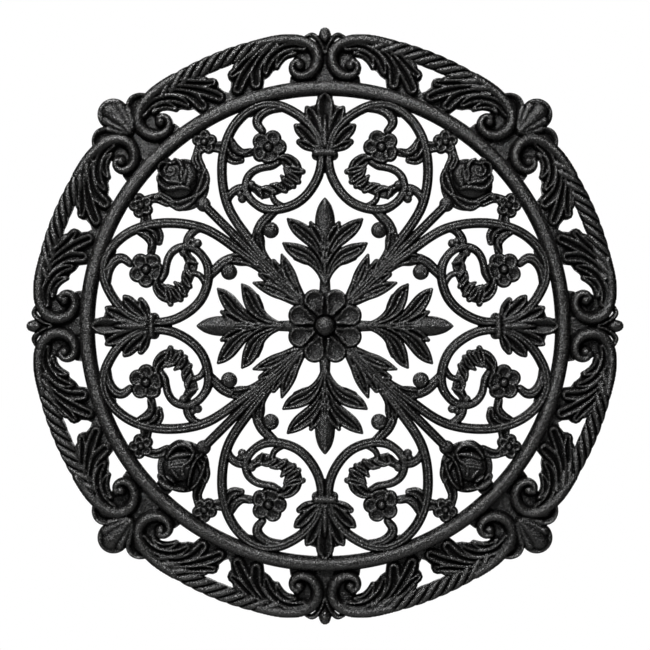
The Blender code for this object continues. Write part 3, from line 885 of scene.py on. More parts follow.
@dataclass
class Cartouche:
    """A border cartouche: two scrolled bars back to back, with leaves that sweep outwards.

    The middle is the right edge of the ground between the two halves.
    """

    bounds: Point = (-102, 222, 102, 300)
    shift: float = 0.0
    middle: Path = ((9.0, 236), (9.0, 284))
    middle_height: float = 4.2
    layer: int = 2
    ground: float = 2.6
    bar: Stroke = Stroke((
        (66, 281.4, 5), (52, 284.2, 5.6), (40, 285.6, 5.8), (29, 285.4, 5.8), (21, 283.6, 5.8),
        (13.4, 279.6, 5.9), (8.7, 274, 5.8), (7.1, 267, 5.6), (8.4, 260, 5.5), (12, 254.2, 5.3),
        (18, 250.4, 4.8), (24.6, 249.6, 4.4), (30.2, 252.2, 4.1), (32.6, 257, 3.9),
        (31.4, 261.6, 3.8), (27.6, 263.8, 3.6)), 12.4, Profile.ROUND)
    eye: Stroke = Stroke(((25.8, 260, 5.2),), 12.8, Profile.ROUND)
    volute_ground: Stroke = Stroke(((22, 261, 11.4),), ground, Profile.FLAT)
    web: Path = (
        (10, 280), (24, 279), (24, 264), (31, 250), (34.6, 249.4), (36, 240), (6, 240), (6, 266))
    leaves: tuple[Stroke, ...] = strokes_along((
        ((21, 276.8, 3.4), (30, 278.4, 4.4), (39, 277.6, 5), (47, 273.4, 5.2), (53.5, 267.4, 5.4),
         (57.6, 260, 5), (59, 253, 3.6)),
        ((30, 272.2, 3), (37, 271.8, 4), (42.6, 268.8, 4.6), (46.4, 263.5, 4.2), (48, 258.6, 3)),
        ((47, 280, 3), (59, 271.5, 4.4), (66.5, 261, 5.8), (69, 252, 6.8), (68.8, 242, 6.2)),
        ((56, 280.5, 3), (67, 269, 4.6), (76, 257.4, 5.8), (83, 245.4, 6.4), (87, 236, 5.8)),
        ((61, 281, 3), (70, 273, 4.4), (79, 263.4, 5.2), (86, 256, 5), (92.6, 250.4, 4.2)),
        ((68, 281, 2.4), (75, 274.5, 3), (83, 266, 3.4), (89.5, 259, 3)),
    ), (10.2, 9.0, 9.8, 10.4, 10.0, 9.2), Profile.LEAF, ground)
    leaf_ground: Path = (
        (22, 275), (26.6, 268.6), (31, 268.6), (37, 267), (42, 263), (44.8, 260), (48, 256.6),
        (51.7, 254.6), (55.6, 249.4), (60.4, 246), (61.4, 238), (96, 226), (96.6, 233.4),
        (94.6, 237), (94, 243.6), (96.6, 246.6), (97.9, 250.8), (96.4, 254.6), (92.9, 257.7),
        (91.4, 261.2), (84, 268), (75, 276), (50, 284), (30, 284))

    def lay_halves(self, relief: Relief) -> None:
        """Lays both halves, their bars moved outwards by the shift, and the ground between them."""
        bars = [stroke.moved(self.shift) for stroke in (self.bar, self.eye, self.volute_ground)]
        relief.lay_twins((*bars, *self.leaves))
        relief.lay_ground_twins(self.leaf_ground, self.ground)
        relief.lay_ground_twins(tuple((x + self.shift, y) for x, y in self.web), self.ground)
        low, high = self.middle
        left_low, left_high = ((-x, y) for x, y in self.middle)
        relief.lay_ground((left_low, low, high, left_high), self.middle_height)


@dataclass
class UprightCartouche(Cartouche):
    """The cartouche on each upright and level axis, crowned by a knob between two sepals."""

    knob: Stroke = Stroke((
        (0, 293.4, 4.6), (0, 290.6, 6.2), (0, 286.4, 3.4)), 12.0, Profile.ROUND, 5.0)
    sepal: Stroke = Stroke((
        (18.4, 289.4, 1.8), (12.6, 290.6, 2.8), (7.4, 286.6, 2.8), (3, 279.4, 2.4),
        (0.9, 272.4, 1.6)), 9.6, Profile.RIDGE)
    sepal_rib: Stroke = Stroke((
        (9.4, 290.4, 1.1), (5.2, 284.6, 1.4), (1.8, 276.6, 1.3)), 10.6, Profile.RIDGE)

    def build(self, paint: bpy.types.Material) -> None:
        """Hangs the four of them."""
        relief = Relief(*self.bounds)
        self.lay_halves(relief)
        relief.lay(self.knob)
        relief.lay_twins((self.sepal, self.sepal_rib))
        relief.soften()
        hang_round(relief.solid("cartouche", self.layer * HAIR), paint, AXES)


@dataclass
class CornerCartouche(Cartouche):
    """The cartouche on each diagonal, crowned by a shell."""

    bounds: Point = (-102, 222, 102, 318)
    shift: float = 2.4
    middle: Path = ((11.4, 236), (11.4, 284))
    layer: int = 4
    shell: Stroke = Stroke((
        (0, 299, 16.0), (0, 297, 15.4), (0, 288, 10.5), (0, 278, 4.0)), 7.0, Profile.FLAT)
    side: Stroke = Stroke((
        (-33, 290, 4.6), (-28.4, 292.4, 6.2), (-22, 292.6, 7.2), (-13, 286.8, 6),
        (-4, 277, 3.4)), 10.6, Profile.LEAF)
    folds: tuple[Stroke, ...] = strokes_along((
        ((0, 302, 9.4), (0, 294, 8.6), (0, 284, 5.4), (0, 274, 2.6)),
        ((10, 299, 5.2), (8, 292, 5), (5, 283, 3.6), (1.6, 274, 2)),
        ((14, 291, 3.6), (10, 284, 3.4), (4, 275, 2)),
    ), (12.4, 11.2, 10.4), Profile.ROUND, 4.0)

    def build(self, paint: bpy.types.Material) -> None:
        """Hangs the four of them, drawn upright and turned to the diagonals."""
        relief = Relief(*self.bounds)
        self.lay_halves(relief)
        relief.lay(self.shell)
        relief.lay_twins((*self.folds, self.side))
        relief.soften()
        upright = relief.solid("upright_corner_cartouche", self.layer * HAIR)
        hang_round(moved_mesh(upright, "corner_cartouche", cornered), paint, DIAGONALS)


@dataclass
class VineLoops:
    """The pair of vine loops on each axis, with flowers, and the palmette and collar between."""

    bounds: Point = (-110, 48, 110, 246)
    layer: int = 6
    step: float = 0.78
    loop: Stroke = Stroke((
        (61.7, 68, 5), (76, 87, 5), (89, 105, 5), (97, 120, 5), (101.5, 137, 5), (103, 155, 5),
        (101.7, 171.5, 5), (97.2, 188, 5), (89, 202.6, 5), (77, 214.2, 5), (62, 220.8, 5),
        (46, 220.2, 5), (30, 213, 5), (17.5, 203.2, 5), (8.5, 191, 4.9), (3.8, 177, 4.6)), 9.6)
    curl: Stroke = Stroke((
        (4, 170, 4.4), (3.9, 162, 4.8), (5.7, 153, 4.9), (9.2, 144.5, 4.9), (14.4, 136, 4.9),
        (20.4, 129, 4.9), (27.8, 123.2, 4.9), (36, 119.4, 4.9), (44.5, 117.2, 4.9),
        (53, 116.3, 4.9), (61.5, 117.6, 4.8), (68.8, 121.6, 4.4), (75, 127.4, 4.4),
        (78.8, 134.8, 4.4), (79, 142.5, 4.3), (76.8, 149, 4.2), (72.4, 154, 4), (66, 157.4, 4),
        (59.5, 158.8, 3.8), (52.8, 160, 3.8), (46.5, 163.4, 3.4)), 9.3)
    branch: Stroke = Stroke((
        (42, 119.6, 3.4), (46.4, 121.8, 3.4), (50.2, 124.9, 3.3), (52.1, 128.5, 3.2),
        (52.7, 132.6, 3)), 8.0)
    link: Stroke = Stroke((
        (79.6, 137.6, 4.6), (86, 137.2, 4.6), (92, 134, 4.4), (96.4, 128.6, 4.2),
        (98, 123, 4.2)), 8.4)
    link_buds: tuple[Stroke, ...] = strokes_along((
        ((80.4, 131.4, 3.8),),
        ((85, 132, 3.6),),
        ((82.8, 127.2, 4.4),),
    ), 8.6, Profile.ROUND)
    hook: Stroke = Stroke((
        (96.5, 190, 3), (94, 184, 4.6), (90, 177.8, 5), (83, 173, 4.6),
        (75, 173.6, 4.3)), 6.0, Profile.LEAF)
    lower_hook: Stroke = Stroke((
        (100, 181, 4), (97.5, 171, 5), (91.5, 166, 4.8), (84, 166, 3.8)), 5.6, Profile.LEAF)
    hook_ribs: tuple[Stroke, ...] = strokes_along((
        ((73.6, 176, 1.8), (80.4, 172.6, 2.2), (86, 173, 2.2), (90.4, 177, 2.2), (92.8, 183, 1.9),
         (94, 189, 1.2)),
        ((82, 174.8, 0.9), (87.2, 177.4, 1.2), (90, 182.6, 1.0)),
        ((84.6, 167.4, 1.3), (90.4, 168, 2), (95, 172.4, 2), (97.6, 179, 1.6)),
    ), 9.0, Profile.RIDGE, 5.0)
    top_branch: Stroke = Stroke((
        (44, 218, 4.2), (54, 216.6, 4.6), (62, 213, 5), (67, 207.5, 5.2), (67.4, 201.5, 4.8),
        (62.5, 195, 4)), 8.6)
    gusset: Stroke = Stroke(((70, 214, 4), (75, 211.6, 3)), 4.0, Profile.FLAT)
    flower_ground: Stroke = Stroke(((56.4, 178.4, 12.0),), 4.6, Profile.FLAT)
    flower_groove: Stroke = Stroke(((56.4, 178.4, 5.8),), 4.6, Profile.FLAT, 9.4)
    flower_boss: Stroke = Stroke(((56.4, 178.4, 4.2),), 12.0, Profile.ROUND, 6.0)
    petals: tuple[Stroke, ...] = strokes_along((
        ((52, 187.2, 8.6),),
        ((64, 184.4, 8.6),),
        ((65.4, 174, 7.6), (65, 171.4, 7.4)),
        ((51.8, 170.4, 7.2), (57.4, 169, 7.4)),
        ((46.4, 178.8, 8.4),),
    ), 9.0, Profile.SPOON)
    wreath: Stroke = Stroke((
        (46, 167.5, 4.6), (37.5, 166.3, 5.6), (31.8, 159.5, 8.0), (31, 150, 7.6),
        (36.5, 142.4, 6.6), (45, 138, 5.2), (54, 134.6, 5.4), (62, 133.2, 6), (68, 136.6, 4.8),
        (74, 140, 4.4)), 4.8, Profile.FLAT)
    wreath_leaves: tuple[Stroke, ...] = strokes_along((
        ((46, 168.6, 2.6), (38.6, 168.6, 4), (32, 164.2, 5), (27.8, 159, 3.8)),
        ((42, 163, 1.6), (37.6, 158.6, 3), (32, 156.4, 4.2), (26, 155, 4), (22, 154.4, 3)),
        ((40.4, 157.4, 1.8), (36.4, 151.6, 3.8), (30.6, 147.6, 4.4), (26.6, 144.4, 3.2)),
        ((43.4, 150, 1.8), (39, 144.6, 4), (34, 141.4, 4), (31, 139.6, 2.8)),
        ((54, 141, 1.8), (47.4, 140.2, 3.8), (42.4, 137, 3.8), (39.4, 135, 2.8)),
        ((64, 137.4, 2), (56.8, 137.8, 3.4), (50, 134, 3.2)),
        ((71, 138.6, 1.8), (65.6, 135.4, 3), (62.8, 128.4, 2)),
    ), 8.8, Profile.LEAF, 4.0)
    wreath_bud: Stroke = Stroke(((73.4, 141.2, 4.6),), 9.2, Profile.ROUND)
    berry: Stroke = Stroke(((54.2, 95.9, 8.2),), 10.0, Profile.ROUND)
    berry_rim: Stroke = Stroke((
        (50.6, 99.6, 1.1), (54.4, 101.2, 1.3), (58.2, 99.2, 1.1)), 10.6, Profile.RIDGE, 8.0)
    berry_stem: Stroke = Stroke((
        (50.5, 115, 4.6), (57, 108.8, 5.2), (63, 102.3, 5.4), (66.8, 95, 5.4)), 7.2)
    berry_leaf: Stroke = Stroke((
        (67.6, 94.6, 4.6), (66.8, 86, 6.8), (64.8, 76, 5.4), (59.8, 66, 5.4),
        (54, 58, 6)), 5.4, Profile.ROUND)
    berry_leaf_ribs: tuple[Stroke, ...] = strokes_along((
        ((71, 92, 1.4), (71, 84, 1.8), (67.4, 74, 1.8), (60, 62, 1.5)),
        ((64, 92, 1.1), (63.6, 84, 1.4), (60.6, 74, 1.4), (55, 63, 1.2)),
    ), 8.8, Profile.RIDGE, 4.0)
    palmette_tip: Stroke = Stroke((
        (0, 233.6, 0.9), (0, 229, 5), (0, 222.6, 9), (0, 214, 9), (0, 203, 7),
        (0, 180, 4)), 9.6, Profile.LEAF)
    palmette_leaves: tuple[Stroke, ...] = strokes_along((
        ((18, 218, 2.4), (14.8, 212.6, 5.8), (11, 204, 6.4), (8, 195, 5), (4.5, 183, 3.5)),
        ((29, 200, 2.6), (24.4, 196, 5.8), (17.4, 189, 6.2), (11, 181.6, 4.6), (8, 178, 3)),
        ((25.6, 184, 3.4), (18.6, 180.6, 5), (8, 177, 3.6)),
    ), 9.0, Profile.LEAF)
    palmette_ground: Path = (
        (0, 232), (5.4, 228), (8.6, 221.6), (13.6, 220), (17.6, 218.6), (19.6, 213), (18.2, 205.6),
        (24, 203.6), (29, 200.4), (28, 193), (23.4, 187.6), (26, 182.6), (21.6, 176.6), (0, 172))
    palmette_ground_height: float = 4.2
    palmette_web: Stroke = Stroke(((0, 240, 7.4), (0, 228, 7.8)), 4.0, Profile.FLAT)
    palmette_bud: Stroke = Stroke((
        (0, 210, 0.8), (0, 201, 3.4), (0, 191, 4.4), (0, 181, 3.4)), 11.0, Profile.ROUND)
    collar: Stroke = Stroke(((-8.6, 173.2, 4.5), (8.6, 173.2, 4.5)), 11.0, Profile.ROUND)
    collar_skirt: Stroke = Stroke(((-8.4, 170.6, 5.0), (8.4, 170.6, 5.0)), 5.4, Profile.FLAT)
    collar_line: Stroke = Stroke((
        (-9.4, 179, 1.1), (0, 179.6, 1.1), (9.4, 179, 1.1)), 9.6, Profile.RIDGE)
    crotch: Stroke = Stroke(((0, 166, 4), (0, 156, 3)), 4.0, Profile.FLAT)

    def half(self) -> tuple[Stroke, ...]:
        """The strokes right of the axis: vines with their buds, blooms and berry, and palmette."""
        vines = (self.loop, self.curl, self.branch, self.link, self.hook, self.lower_hook,
                 self.top_branch, self.gusset, self.berry_stem, *self.hook_ribs, *self.link_buds)
        blooms = (self.flower_ground, *self.petals, self.flower_groove, self.flower_boss,
                  self.wreath, *self.wreath_leaves, self.wreath_bud,
                  self.berry_leaf, self.berry, self.berry_rim, *self.berry_leaf_ribs)
        return vines + blooms + self.palmette_leaves

    def build(self, paint: bpy.types.Material) -> None:
        """Hangs the four pairs."""
        relief = Relief(*self.bounds, self.step)
        relief.lay_twins(self.half())
        relief.lay_all((self.palmette_web, self.palmette_tip, self.palmette_bud, self.collar_skirt,
                        self.collar, self.collar_line, self.crotch))
        relief.lay_ground_twins(self.palmette_ground, self.palmette_ground_height)
        relief.soften()
        hang_round(relief.solid("vine_loops", self.layer * HAIR), paint, AXES)


@dataclass
class CentreSpray:
    """The rosette of spoon petals at the centre, and the leaf sprays that leave between them.

    The petal and its rib are drawn as (distance from the centre, half width).
    """

    bounds: Point = (-131, -131, 131, 131)
    layer: int = 8
    disc: Stroke = Stroke(((0, 0, 27.0),), 5.0, Profile.FLAT)
    petals: int = 8
    petal: Path = ((27.4, 11.5), (22.0, 8.0), (11.0, 3.6))
    petal_height: float = 10.6
    petal_rib: Path = ((10.0, 1.4), (22.0, 1.0))
    petal_rib_height: float = 8.0
    petal_rib_spread: float = 0.09
    boss_groove: Stroke = Stroke(((0, 0, 12.0),), 4.0, Profile.FLAT, 11.0)
    boss: Stroke = Stroke(((0, 0, 9.8),), 16.0, Profile.ROUND, 7.0)
    midrib_share: float = 0.16
    least_midrib: float = 0.5
    midrib_height: float = 8.6
    midrib_foot: float = 4.0
    stem: Stroke = Stroke((
        (0, 30, 6), (0, 46, 5.2), (0, 58, 5), (0, 76, 5.4), (0, 92, 8)), 7.6, Profile.ROUND)
    bud: Stroke = Stroke((
        (0, 92, 6), (0, 100, 9.8), (0, 108, 9.8), (0, 116, 7.8), (0, 122, 4.8),
        (0, 126.6, 1.8)), 10.4, Profile.ROUND)
    midribs: tuple[Stroke, ...] = strokes_along((
        ((0, 42, 1.8), (0, 56, 2.2), (0, 66, 1.6)),
        ((2.6, 62, 1.2), (1, 72, 1.4), (0, 80, 1.4)),
        ((3.4, 82, 1.1), (2, 92, 1.3), (3.4, 99, 1.1)),
        ((0, 76, 1.6), (0, 88, 2), (0, 98, 1.4)),
    ), 10.4, Profile.RIDGE, 6.0)
    lower_leaf: Stroke = Stroke((
        (1.6, 44, 2.4), (5, 54, 3.8), (10.4, 63, 5.8), (18, 70, 8), (26.6, 74, 8.2),
        (34.4, 77.8, 5.8), (41.4, 82.6, 1.6)), 9.8, Profile.LEAF)
    lower_frill: Stroke = Stroke((
        (6, 55, 2.6), (13, 63, 3.8), (20.6, 66, 4.4), (29, 68.6, 3.4)), 7.0, Profile.LEAF)
    upper_leaf: Stroke = Stroke((
        (2.4, 64, 2.4), (5.4, 74, 4.8), (10.6, 82.8, 6.6), (17.4, 90.4, 8.2), (25, 96.4, 7.8),
        (31.4, 101.6, 5.4), (37, 106.8, 1.5)), 9.8, Profile.LEAF)
    bud_leaf: Stroke = Stroke((
        (2, 78, 2.4), (5.4, 87, 4.4), (9.6, 94.6, 5), (14, 103, 2.2)), 9.8, Profile.LEAF)
    web: Stroke = Stroke(((5, 74, 5.4), (9, 86, 6), (12.4, 97, 5.4)), 4.6, Profile.FLAT)
    corner_stem: Stroke = Stroke((
        (24, 24, 7.6), (40, 40, 7.4), (54, 54, 8), (64, 64, 6.6)), 7.4, Profile.ROUND)
    corner_ribs: tuple[Stroke, ...] = strokes_along((
        ((25, 27.4, 1.5), (38, 41.6, 1.9), (55, 60, 1.9), (64, 70, 1.4)),
        ((26, 26, 1.5), (44, 44, 2), (74, 74, 1.9)),
    ), 9.8, Profile.RIDGE)
    corner_leaves: tuple[Stroke, ...] = strokes_along((
        ((22.6, 27, 2.4), (29, 38, 4.8), (35, 50, 6.8), (39.4, 60.6, 5.4), (43, 71, 1.6)),
        ((22.8, 30, 3), (28.8, 40, 4.4), (32.8, 49.6, 4.4), (34, 58, 1.8)),
        ((31, 35, 2), (39, 46, 3.8), (46.6, 56, 4.6), (51.6, 63.6, 3.6)),
    ), (9.0, 7.6, 8.8), Profile.LEAF)
    bud_rib: Stroke = Stroke((
        (0, 100, 1.2), (0, 110, 1.5), (0, 119, 1.0)), 11.6, Profile.RIDGE, 8.0)

    def midrib(self, leaf: Stroke) -> Stroke:
        """The rib along the middle of a leaf."""
        path = tuple((x, y, self.midrib_share * half + self.least_midrib)
                     for x, y, half in leaf.path[1:-1])
        return Stroke(path, self.midrib_height, Profile.RIDGE, self.midrib_foot)

    def quarter(self) -> list[Stroke]:
        """The upright spray's strokes on its right, and the diagonal spray's on its upper side."""
        ribbed = (self.lower_leaf, self.upper_leaf, *self.corner_leaves)
        return [self.lower_leaf, self.lower_frill, self.upper_leaf, self.bud_leaf, self.web,
                *self.corner_leaves, *self.corner_ribs, *map(self.midrib, ribbed)]

    def upright(self) -> list[Stroke]:
        """The strokes on the upright axis."""
        ribs = [copy for rib in self.midribs for copy in (rib, rib.flipped())]
        return [self.stem, self.bud, self.bud_rib, *ribs]

    def rosette(self, relief: Relief) -> None:
        """Lays the petals, their inner ridges and the boss."""
        relief.lay(self.disc)
        for number in range(self.petals):
            angle = (number + 0.5) * math.tau / self.petals
            petal = tuple((*on_circle(out, angle), half) for out, half in self.petal)
            relief.lay(Stroke(petal, self.petal_height, Profile.SPOON))
            (near, near_half), (far, far_half) = self.petal_rib
            for side in (-self.petal_rib_spread, self.petal_rib_spread):
                start, end = on_circle(near, angle), on_circle(far, angle + side)
                relief.lay(Stroke(((*start, near_half), (*end, far_half)),
                                  self.petal_rib_height, Profile.RIDGE))
        relief.lay_all((self.boss_groove, self.boss))

    def build(self, paint: bpy.types.Material) -> None:
        """Hangs the rosette and all its sprays as one piece."""
        relief = Relief(*self.bounds)
        self.rosette(relief)
        strokes = []
        for stroke in self.quarter():
            flipped = stroke.flipped()
            strokes += [stroke, flipped, stroke.swapped(), flipped.swapped()]
        strokes += self.upright() + [stroke.swapped() for stroke in self.upright()]
        for stroke in (*strokes, self.corner_stem, self.corner_stem.flipped()):
            relief.lay_all((stroke, stroke.opposite()))
        relief.soften()
        hang(relief.solid("centre_spray", self.layer * HAIR), paint)


@dataclass
class RoseSpray:
    """A rose or a bud on a diagonal, with its stem, calyx and two small flowers."""

    stem: Stroke = Stroke(((50, 50, 4.8), (84, 84, 4.8), (118, 118, 4.8)), 9.8)
    back: Stroke = Stroke(((141.5, 141.0, 26.0),), 5.0, Profile.FLAT)
    calyx: Stroke = Stroke(((121.5, 121.5, 7.4),), 9.0, Profile.ROUND)
    to_ring: Stroke = Stroke(((160.5, 160.5, 8.6),), 6.0, Profile.ROUND)
    sprig: Point = (120.4, 183.6)
    sprig_ground: Stroke = Stroke(((120.4, 183.6, 8.6),), 4.0, Profile.FLAT)
    sprig_petals: int = 5
    sprig_petal_at: float = 7.0
    sprig_petal_radius: float = 6.0
    sprig_petal_height: float = 8.6
    sprig_groove: Stroke = Stroke(((120.4, 183.6, 4.6),), 4.4, Profile.FLAT, 9.0)
    sprig_boss: Stroke = Stroke(((120.4, 183.6, 3.3),), 11.0, Profile.ROUND, 6.0)
    sprig_link: Stroke = Stroke((
        (103, 178.6, 6.6), (108, 179, 5.6), (114, 180.4, 6.4)), 6.0, Profile.LEAF)
    sprig_leaf: Stroke = Stroke((
        (126.6, 176, 4.6), (127.8, 168, 5), (124.4, 158, 5.5)), 7.0, Profile.LEAF)
    bounds: Point = (44, 44, 198, 198)
    layer: int = 9
    softening: int = 2
    step: float = 0.6

    def petals(self) -> tuple[Stroke, ...]:
        """The strokes on the flower's head."""
        raise NotImplementedError

    def side_flower(self) -> list[Stroke]:
        """The small flower left of the diagonal, with its links."""
        petals = []
        for number in range(self.sprig_petals):
            x, y = on_circle(self.sprig_petal_at, number * math.tau / self.sprig_petals)
            place = (self.sprig[0] + x, self.sprig[1] + y, self.sprig_petal_radius)
            petals.append(Stroke((place,), self.sprig_petal_height, Profile.SPOON))
        return [self.sprig_link, self.sprig_leaf, self.sprig_ground, *petals,
                self.sprig_groove, self.sprig_boss]

    def mesh(self, name: str) -> bpy.types.Mesh:
        """Builds the spray for the upper right diagonal."""
        relief = Relief(*self.bounds, self.step)
        relief.lay_all((self.stem, self.back, self.calyx, self.to_ring))
        for stroke in self.side_flower():
            relief.lay_all((stroke, stroke.swapped()))
        relief.lay_all(self.petals())
        relief.soften(self.softening)
        return relief.solid(name, self.layer * HAIR)


@dataclass
class OpenRose(RoseSpray):
    """An open rose with a curled heart."""

    ball: Stroke = Stroke(((147.4, 147, 19.6),), 13.2, Profile.ROUND, 5.0)
    left_bulge: Stroke = Stroke((
        (135.6, 158.6, 3), (133.6, 150.4, 5.4), (136.4, 140.6, 3)), 14.2, Profile.ROUND, 9.0)
    heart: Stroke = Stroke(((152.8, 154.2, 7.6),), 13.6, Profile.ROUND, 9.0)
    curl: Stroke = Stroke((
        (152.6, 154.6, 1.4), (155, 154.4, 1.3), (155, 157, 1.3), (151.4, 157.8, 1.3),
        (149.2, 154.6, 1.3), (150.6, 151, 1.3), (154.6, 149.4, 1.3), (158.6, 151.6, 1.3),
        (159.6, 156, 1.3), (157, 160, 1.2)), 15.2, Profile.RIDGE, 11.0)
    folds: tuple[Stroke, ...] = strokes_along((
        ((149.7, 166, 1.4), (144.8, 163.4, 2.4), (141.9, 157, 2.6), (143.2, 150.4, 2.4),
         (141.7, 143.6, 1.2)),
        ((149.4, 162.6, 1.2), (154.8, 161.8, 1.5), (160.4, 163, 1.6), (164.8, 159.6, 1.7),
         (165, 153.2, 1.5), (162.4, 149, 1.2)),
        ((142.1, 141.5, 1.2), (149, 143.4, 2.4), (156.4, 144.2, 2.2), (160.4, 147.4, 1.2)),
        ((134.8, 136.4, 1.2), (142.6, 138.4, 2.2), (149.7, 137.4, 2.4), (156.8, 136.8, 2.4),
         (162.9, 140.6, 2.4), (166.2, 146.6, 2.0), (165.2, 151.6, 1.2)),
        ((137.8, 160.4, 0.9), (138, 151, 1.1), (139.6, 142.8, 0.9)),
        ((139.8, 155.2, 0.7), (140, 149, 0.9), (140.8, 144.2, 0.7)),
    ), 15.4, Profile.ROUND, 10.0)
    sepals: tuple[Stroke, ...] = strokes_along((
        ((119.6, 155.4, 2.6), (119.6, 148, 5), (121.6, 140, 5.4), (126.4, 132.6, 4)),
        ((128.6, 129.4, 3), (136.6, 123.8, 5.2), (145.4, 120.4, 5.8), (152.6, 122.6, 4.2)),
        ((151.6, 123.6, 3.4), (158, 127.4, 3.8), (164.4, 131, 3.4), (169, 128, 3)),
        ((128.6, 172, 3.2), (130.4, 165.6, 3.8), (126.8, 158.4, 4)),
    ), 9.0, Profile.LEAF, 5.0)

    def petals(self) -> tuple[Stroke, ...]:
        """The rose's sepals, ball, heart and folded petals."""
        return (*self.sepals, self.ball, self.left_bulge, self.heart, self.curl, *self.folds)


@dataclass
class RoseBud(RoseSpray):
    """A closed rose with overlapping sepals, drawn for the upper right and mirrored downwards."""

    back: Stroke = Stroke(((141.6, 140.6, 26.0),), 5.0, Profile.FLAT)
    folds: tuple[Stroke, ...] = strokes_along((
        ((157.5, 130.5, 1.8), (152.9, 123.6, 2.4), (147.8, 118.9, 2.6), (142, 117.8, 2.6),
         (136.3, 119, 2.4), (132.8, 122.5, 2.2), (130.5, 125.4, 1.6)),
        ((154.4, 132, 1.6), (149, 129.4, 2.8), (143.2, 128.2, 3.2), (134, 127.6, 1.8)),
        ((155.2, 138.6, 1.6), (148, 137.2, 1.8), (140.9, 136.3, 1.4)),
        ((156, 141.2, 1.6), (148, 140, 1.8), (141.6, 139.6, 1.4)),
        ((152.4, 143.7, 1.6), (149.4, 147, 2), (146.6, 150.6, 1.6)),
        ((156.9, 150, 1.6), (153.8, 152.4, 2), (150.6, 154.6, 1.6)),
        ((152, 161.6, 2.4), (158.1, 159.2, 3.6), (164, 155, 2.4)),
        ((140, 163, 1.6), (144.3, 162.2, 2.2), (149, 162, 1.6)),
        ((131.1, 127.6, 1.6), (132.6, 131.4, 2), (135.1, 134.5, 2.2), (140.9, 139.1, 2.2),
         (142, 144.3, 2), (140.9, 148.6, 1.6)),
        ((122, 128, 1.2), (126.5, 131, 1.4), (131, 138, 1.6), (134, 148, 1.6), (136, 158, 1.4)),
        ((119.6, 136.3, 1.4), (122, 146, 1.8), (127, 156, 1.8), (133, 162, 1.4)),
    ), 14.2, Profile.ROUND, 8.0)
    swell: Stroke = Stroke(((146, 140, 15.0),), 13.0, Profile.ROUND, 6.0)
    sepals: tuple[Stroke, ...] = strokes_along((
        ((119.6, 155.4, 2.6), (119.6, 148, 5), (121.6, 140, 5.4), (126.4, 132.6, 4)),
        ((128.6, 129.4, 3), (136.6, 121.8, 4.6), (145.4, 118.4, 4.8), (154, 122.6, 4.2)),
        ((152, 159, 4.6), (160, 156, 5), (164, 150, 4)),
    ), 9.0, Profile.LEAF, 5.0)

    def petals(self) -> tuple[Stroke, ...]:
        """The bud's sepals, swelling heart and folds."""
        return (*self.sepals, self.swell, *self.folds)


@dataclass
class Roses:
    """Open roses on the upper diagonals and buds on the lower ones, each pair alike."""

    rose: OpenRose
    bud: RoseBud

    def build(self, paint: bpy.types.Material) -> None:
        """Hangs all four sprays."""
        for mesh, low in ((self.rose.mesh("open_rose"), False), (self.bud.mesh("rose_bud"), True)):
            for side, left in (("right", False), ("left", True)):
                hang(mirrored_mesh(mesh, f"{mesh.name}_{side}", left, low), paint)


@dataclass(frozen=True)
class Lamp:
    """A soft square lamp that faces the medallion."""

    name: str
    place: tuple[float, float, float]
    side: float
    watts: float

    def build(self) -> None:
        """Puts the lamp up."""
        light = bpy.data.lights.new(self.name, "AREA")
        light.shape = "SQUARE"
        light.size = self.side
        light.energy = self.watts
        lamp = bpy.data.objects.new(self.name, light)
        lamp.location = self.place
        lamp.rotation_euler = (-Vector(self.place)).to_track_quat("-Z", "Y").to_euler()
        bpy.context.scene.collection.objects.link(lamp)


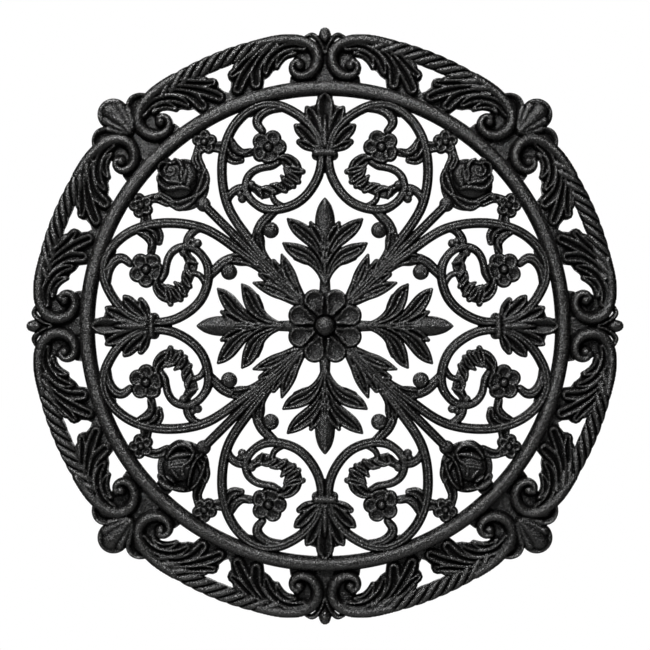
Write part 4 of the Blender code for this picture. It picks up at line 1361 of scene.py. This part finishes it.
@dataclass
class Studio:
    """Camera, white surroundings, soft lamps and a pale floor.

    The camera sees the frame width at its distance, in a plane that lies ahead of the wall.
    """

    distance: float = 1.6
    plane_ahead: float = 0.006
    frame_width: float = 0.6485
    sensor_width: float = 36.0
    above: float = 0.001
    seen_white: float = 1.0
    light_around: float = 0.002
    floor_at: float = -0.8
    floor_half_width: float = 1.2
    floor_ahead: float = 1.5
    floor_behind: float = 0.1
    lamps: tuple[Lamp, ...] = (Lamp("key", (-0.5, -1.25, 1.4), 0.5, 60.0),
                               Lamp("front", (-0.3, -2.2, 0.7), 0.5, 4.0),
                               Lamp("rear", (0.3, 2.4, 0.6), 0.9, 9.0))

    def camera(self) -> None:
        """Sets up the photograph's view, straight from the front."""
        data = bpy.data.cameras.new("camera")
        data.sensor_width = self.sensor_width
        data.lens = self.sensor_width * self.distance / self.frame_width
        camera = bpy.data.objects.new("camera", data)
        camera.location = (0.0, -self.distance - self.plane_ahead, self.above)
        camera.rotation_euler = (math.pi / 2, 0.0, 0.0)
        bpy.context.scene.collection.objects.link(camera)
        bpy.context.scene.camera = camera

    def surroundings(self) -> None:
        """White behind the medallion, with dim grey light from around it."""
        world = bpy.data.worlds.new("studio")
        bpy.context.scene.world = world
        world.use_nodes = True
        nodes, links = world.node_tree.nodes, world.node_tree.links
        nodes.clear()
        seen, around = (nodes.new("ShaderNodeBackground") for _ in range(2))
        for node, level in ((seen, self.seen_white), (around, self.light_around)):
            node.inputs["Color"].default_value = (level, level, level, 1.0)
        ray = nodes.new("ShaderNodeLightPath")
        mix = nodes.new("ShaderNodeMixShader")
        out = nodes.new("ShaderNodeOutputWorld")
        links.new(ray.outputs["Is Camera Ray"], mix.inputs["Fac"])
        links.new(around.outputs["Background"], mix.inputs[1])
        links.new(seen.outputs["Background"], mix.inputs[2])
        links.new(mix.outputs["Shader"], out.inputs["Surface"])

    def floor(self) -> None:
        """Lays the pale floor below the view."""
        half, front, rear = self.floor_half_width, -self.floor_ahead, self.floor_behind
        mesh = bpy.data.meshes.new("floor")
        corners = ((-half, front), (half, front), (half, rear), (-half, rear))
        mesh.from_pydata([(*corner, self.floor_at) for corner in corners], [], [(0, 1, 2, 3)])
        mesh.materials.append(PaleFloor().material())
        floor = bpy.data.objects.new("floor", mesh)
        bpy.context.scene.collection.objects.link(floor)

    def build(self) -> None:
        """Puts the studio together."""
        bpy.context.scene.view_settings.view_transform = "Standard"
        self.camera()
        self.surroundings()
        self.floor()
        for lamp in self.lamps:
            lamp.build()


def main() -> None:
    """Builds the medallion's pieces in order, then the studio around it."""
    logging.basicConfig(level=logging.INFO, format="%(message)s")
    paint = BlackPaint().material()
    for part in (PlainRing(), RopeRim(), UprightCartouche(), CornerCartouche(), VineLoops(),
                 CentreSpray(), Roses(OpenRose(), RoseBud())):
        part.build(paint)
    Studio().build()


if __name__ == "__main__":
    main()
